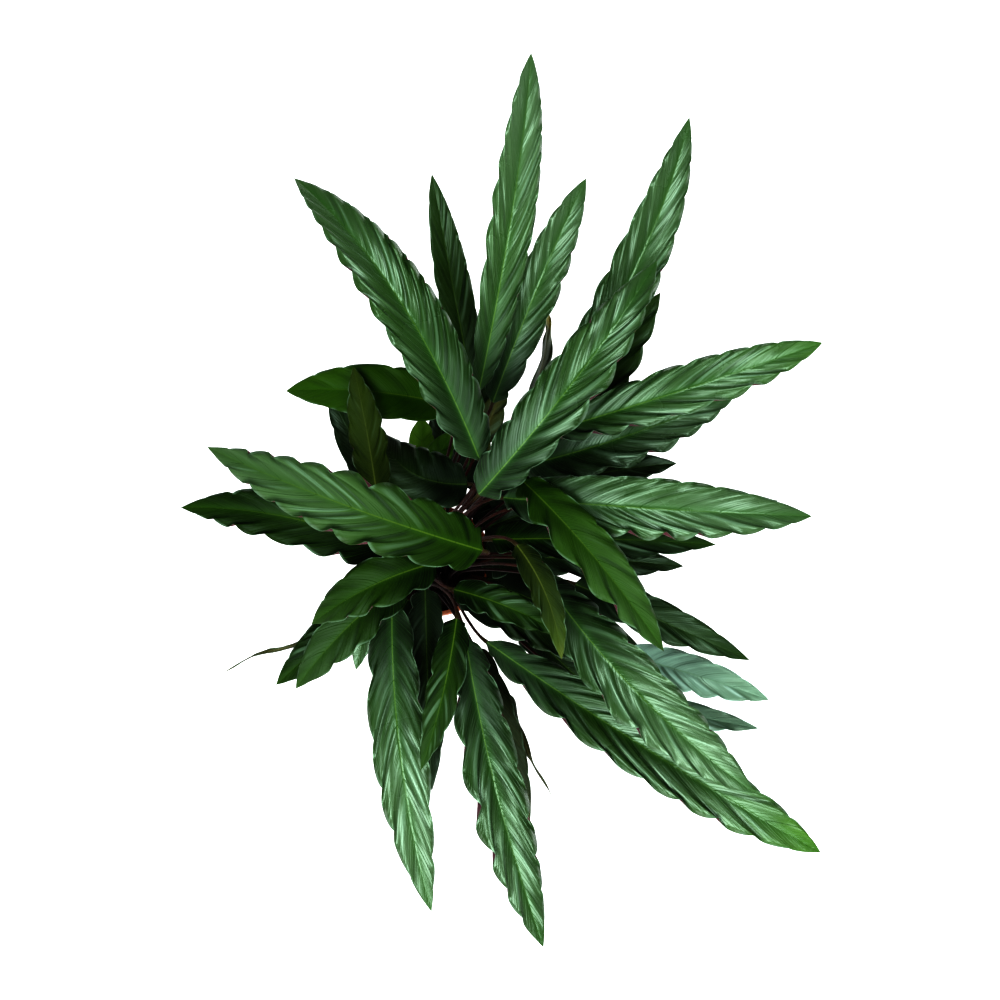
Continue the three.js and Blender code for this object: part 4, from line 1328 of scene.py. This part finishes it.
crumbs = scatter_lumps("soil_crumbs", CRUMBS, CRUMB_SIZES, seed=11)
perlite = scatter_lumps("soil_perlite", PERLITE, PERLITE_SIZES, seed=12, flatness=0.9)
print("crumb faces:", len(crumbs.data.polygons), "perlite faces:", len(perlite.data.polygons))

# %% [markdown]
# Soil is all grain and no gloss: lumps of two browns, with lighter fibres in them. Perlite has
# the same grain in white.

# %% Soil material
FIBRE_LIGHT = 1.8


def soil_material(name, dark, light, scale):
    recipe = Recipe(name)
    lumps = recipe.noise(scale, 8.0, roughness=0.65)
    fibres = recipe.noise(scale * 4, 4.0)
    fibre_colour = rgb(*(min(1, FIBRE_LIGHT * part) for part in light[:3]))
    colour = recipe.mix(recipe.ramp(lumps, 0.35, 0.7), dark, light)
    colour = recipe.mix(recipe.ramp(fibres, 0.6, 0.8, 0.0, 0.6), colour, fibre_colour)
    relief = recipe.bump(lumps, 1.5 * MM, 0.8)
    relief = recipe.bump(fibres, 0.5 * MM, 0.8, under=relief)
    recipe.set(Base_Color=colour, Roughness=0.95, Normal=relief)
    return recipe.material


soil.data.materials.append(
    soil_material("soil_body", rgb(0.010, 0.007, 0.005), rgb(0.045, 0.028, 0.018), 240.0))
crumbs.data.materials.append(
    soil_material("soil_lumps", rgb(0.014, 0.009, 0.006), rgb(0.075, 0.045, 0.028), 400.0))
perlite.data.materials.append(
    soil_material("perlite", rgb(0.42, 0.40, 0.36), rgb(0.75, 0.73, 0.68), 500.0))
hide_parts("soil")
for piece in (soil, crumbs, perlite):
    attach(piece, "root")

print("pieces so far:", len(leaf_pieces) + 4)

# %% [markdown]
# ## The camera
# The photograph looks almost straight down, a little over a metre above the leaves, from the
# side of its lower edge and tilted a little towards the far side. The focal length is given as
# a share of the sensor's width, which sets how much of the scene the picture takes in.

# %% Camera
CAMERA_PLACE = (0.068, -0.234, 1.525)
CAMERA_TILT = math.radians(12)
FOCAL_SHARE = 1.351

camera = bpy.data.objects.new("camera", bpy.data.cameras.new("camera"))
bpy.context.scene.collection.objects.link(camera)
camera.location = CAMERA_PLACE
camera.rotation_euler = (CAMERA_TILT, 0, 0)
camera.data.sensor_width = 36
camera.data.lens = camera.data.sensor_width * FOCAL_SHARE
bpy.context.scene.camera = camera
print("focal length in mm:", round(camera.data.lens, 1))

# %% [markdown]
# ## The floor
# The photograph has a plain white background. A pale floor that glows a little gives the same,
# and it lights the leaves softly from below, as a white table does.

# %% Floor
FLOOR_HALF = 4.0
FLOOR_STEPS = 8
FLOOR_GLOW = 0.8

steps = np.linspace(-FLOOR_HALF, FLOOR_HALF, FLOOR_STEPS + 1)
floor_x, floor_y = np.meshgrid(steps, steps)
floor_points = np.stack([floor_x, floor_y, 0 * floor_x], -1)
corner = (np.arange(FLOOR_STEPS)[:, None] * (FLOOR_STEPS + 1) + np.arange(FLOOR_STEPS)).ravel()
floor_faces = np.stack(
    [corner, corner + 1, corner + FLOOR_STEPS + 2, corner + FLOOR_STEPS + 1], -1).tolist()
floor = new_mesh("floor", floor_points, floor_faces)
floor_paint = Recipe("floor_paint")
floor_paint.set(Base_Color=rgb(0.5, 0.5, 0.5), Roughness=0.9)
floor_paint.set(Emission_Color=rgb(1.0, 1.0, 1.0), Emission_Strength=FLOOR_GLOW)
floor.data.materials.append(floor_paint.material)
print("floor faces:", len(floor_faces))

# %% [markdown]
# ## The light
# Glossy leaves show what they reflect, so the light comes from soft square windows of cool
# daylight. A large low one on the near side draws the pale streaks along the pleats, and three
# smaller and higher ones light the leaves that turn away from it. The room itself stays dark,
# so the hollows between the leaves stay deep.

# %% Light
CENTRE = (0.06, 0.0, 0.35)
WINDOW_DISTANCE = 3.5
DAYLIGHT = (0.90, 0.965, 1.0)
ROOM_LIGHT = 0.02
WINDOWS = [
    ("south_window", 265, 42, 2.4, 120.0),
    ("upper_window", 225, 60, 1.3, 42.0),
    ("north_window", 85, 58, 1.4, 45.0),
    ("east_window", 345, 58, 1.2, 32.0),
]


def add_window(name, bearing, height, size, power):
    """A soft square light, seen from the plant at a bearing from +X and a height in degrees."""
    data = bpy.data.lights.new(name, "AREA")
    data.size = size
    data.energy = power
    data.color = DAYLIGHT
    light = bpy.data.objects.new(name, data)
    bpy.context.scene.collection.objects.link(light)
    turn, lift = math.radians(bearing), math.radians(height)
    flat = math.cos(lift)
    away = Vector((flat * math.cos(turn), flat * math.sin(turn), math.sin(lift)))
    light.location = Vector(CENTRE) + WINDOW_DISTANCE * away
    light.rotation_euler = (-away).to_track_quat("-Z", "Y").to_euler()


for settings in WINDOWS:
    add_window(*settings)

world = bpy.data.worlds.new("room")
world.use_nodes = True
background = world.node_tree.nodes["Background"]
background.inputs["Color"].default_value = rgb(0.95, 0.98, 1.0)
background.inputs["Strength"].default_value = ROOM_LIGHT
bpy.context.scene.world = world
view = bpy.context.scene.view_settings
view.view_transform = "Standard"
view.look = "Very High Contrast"
view.exposure = 0.0
print("windows:", len(WINDOWS))
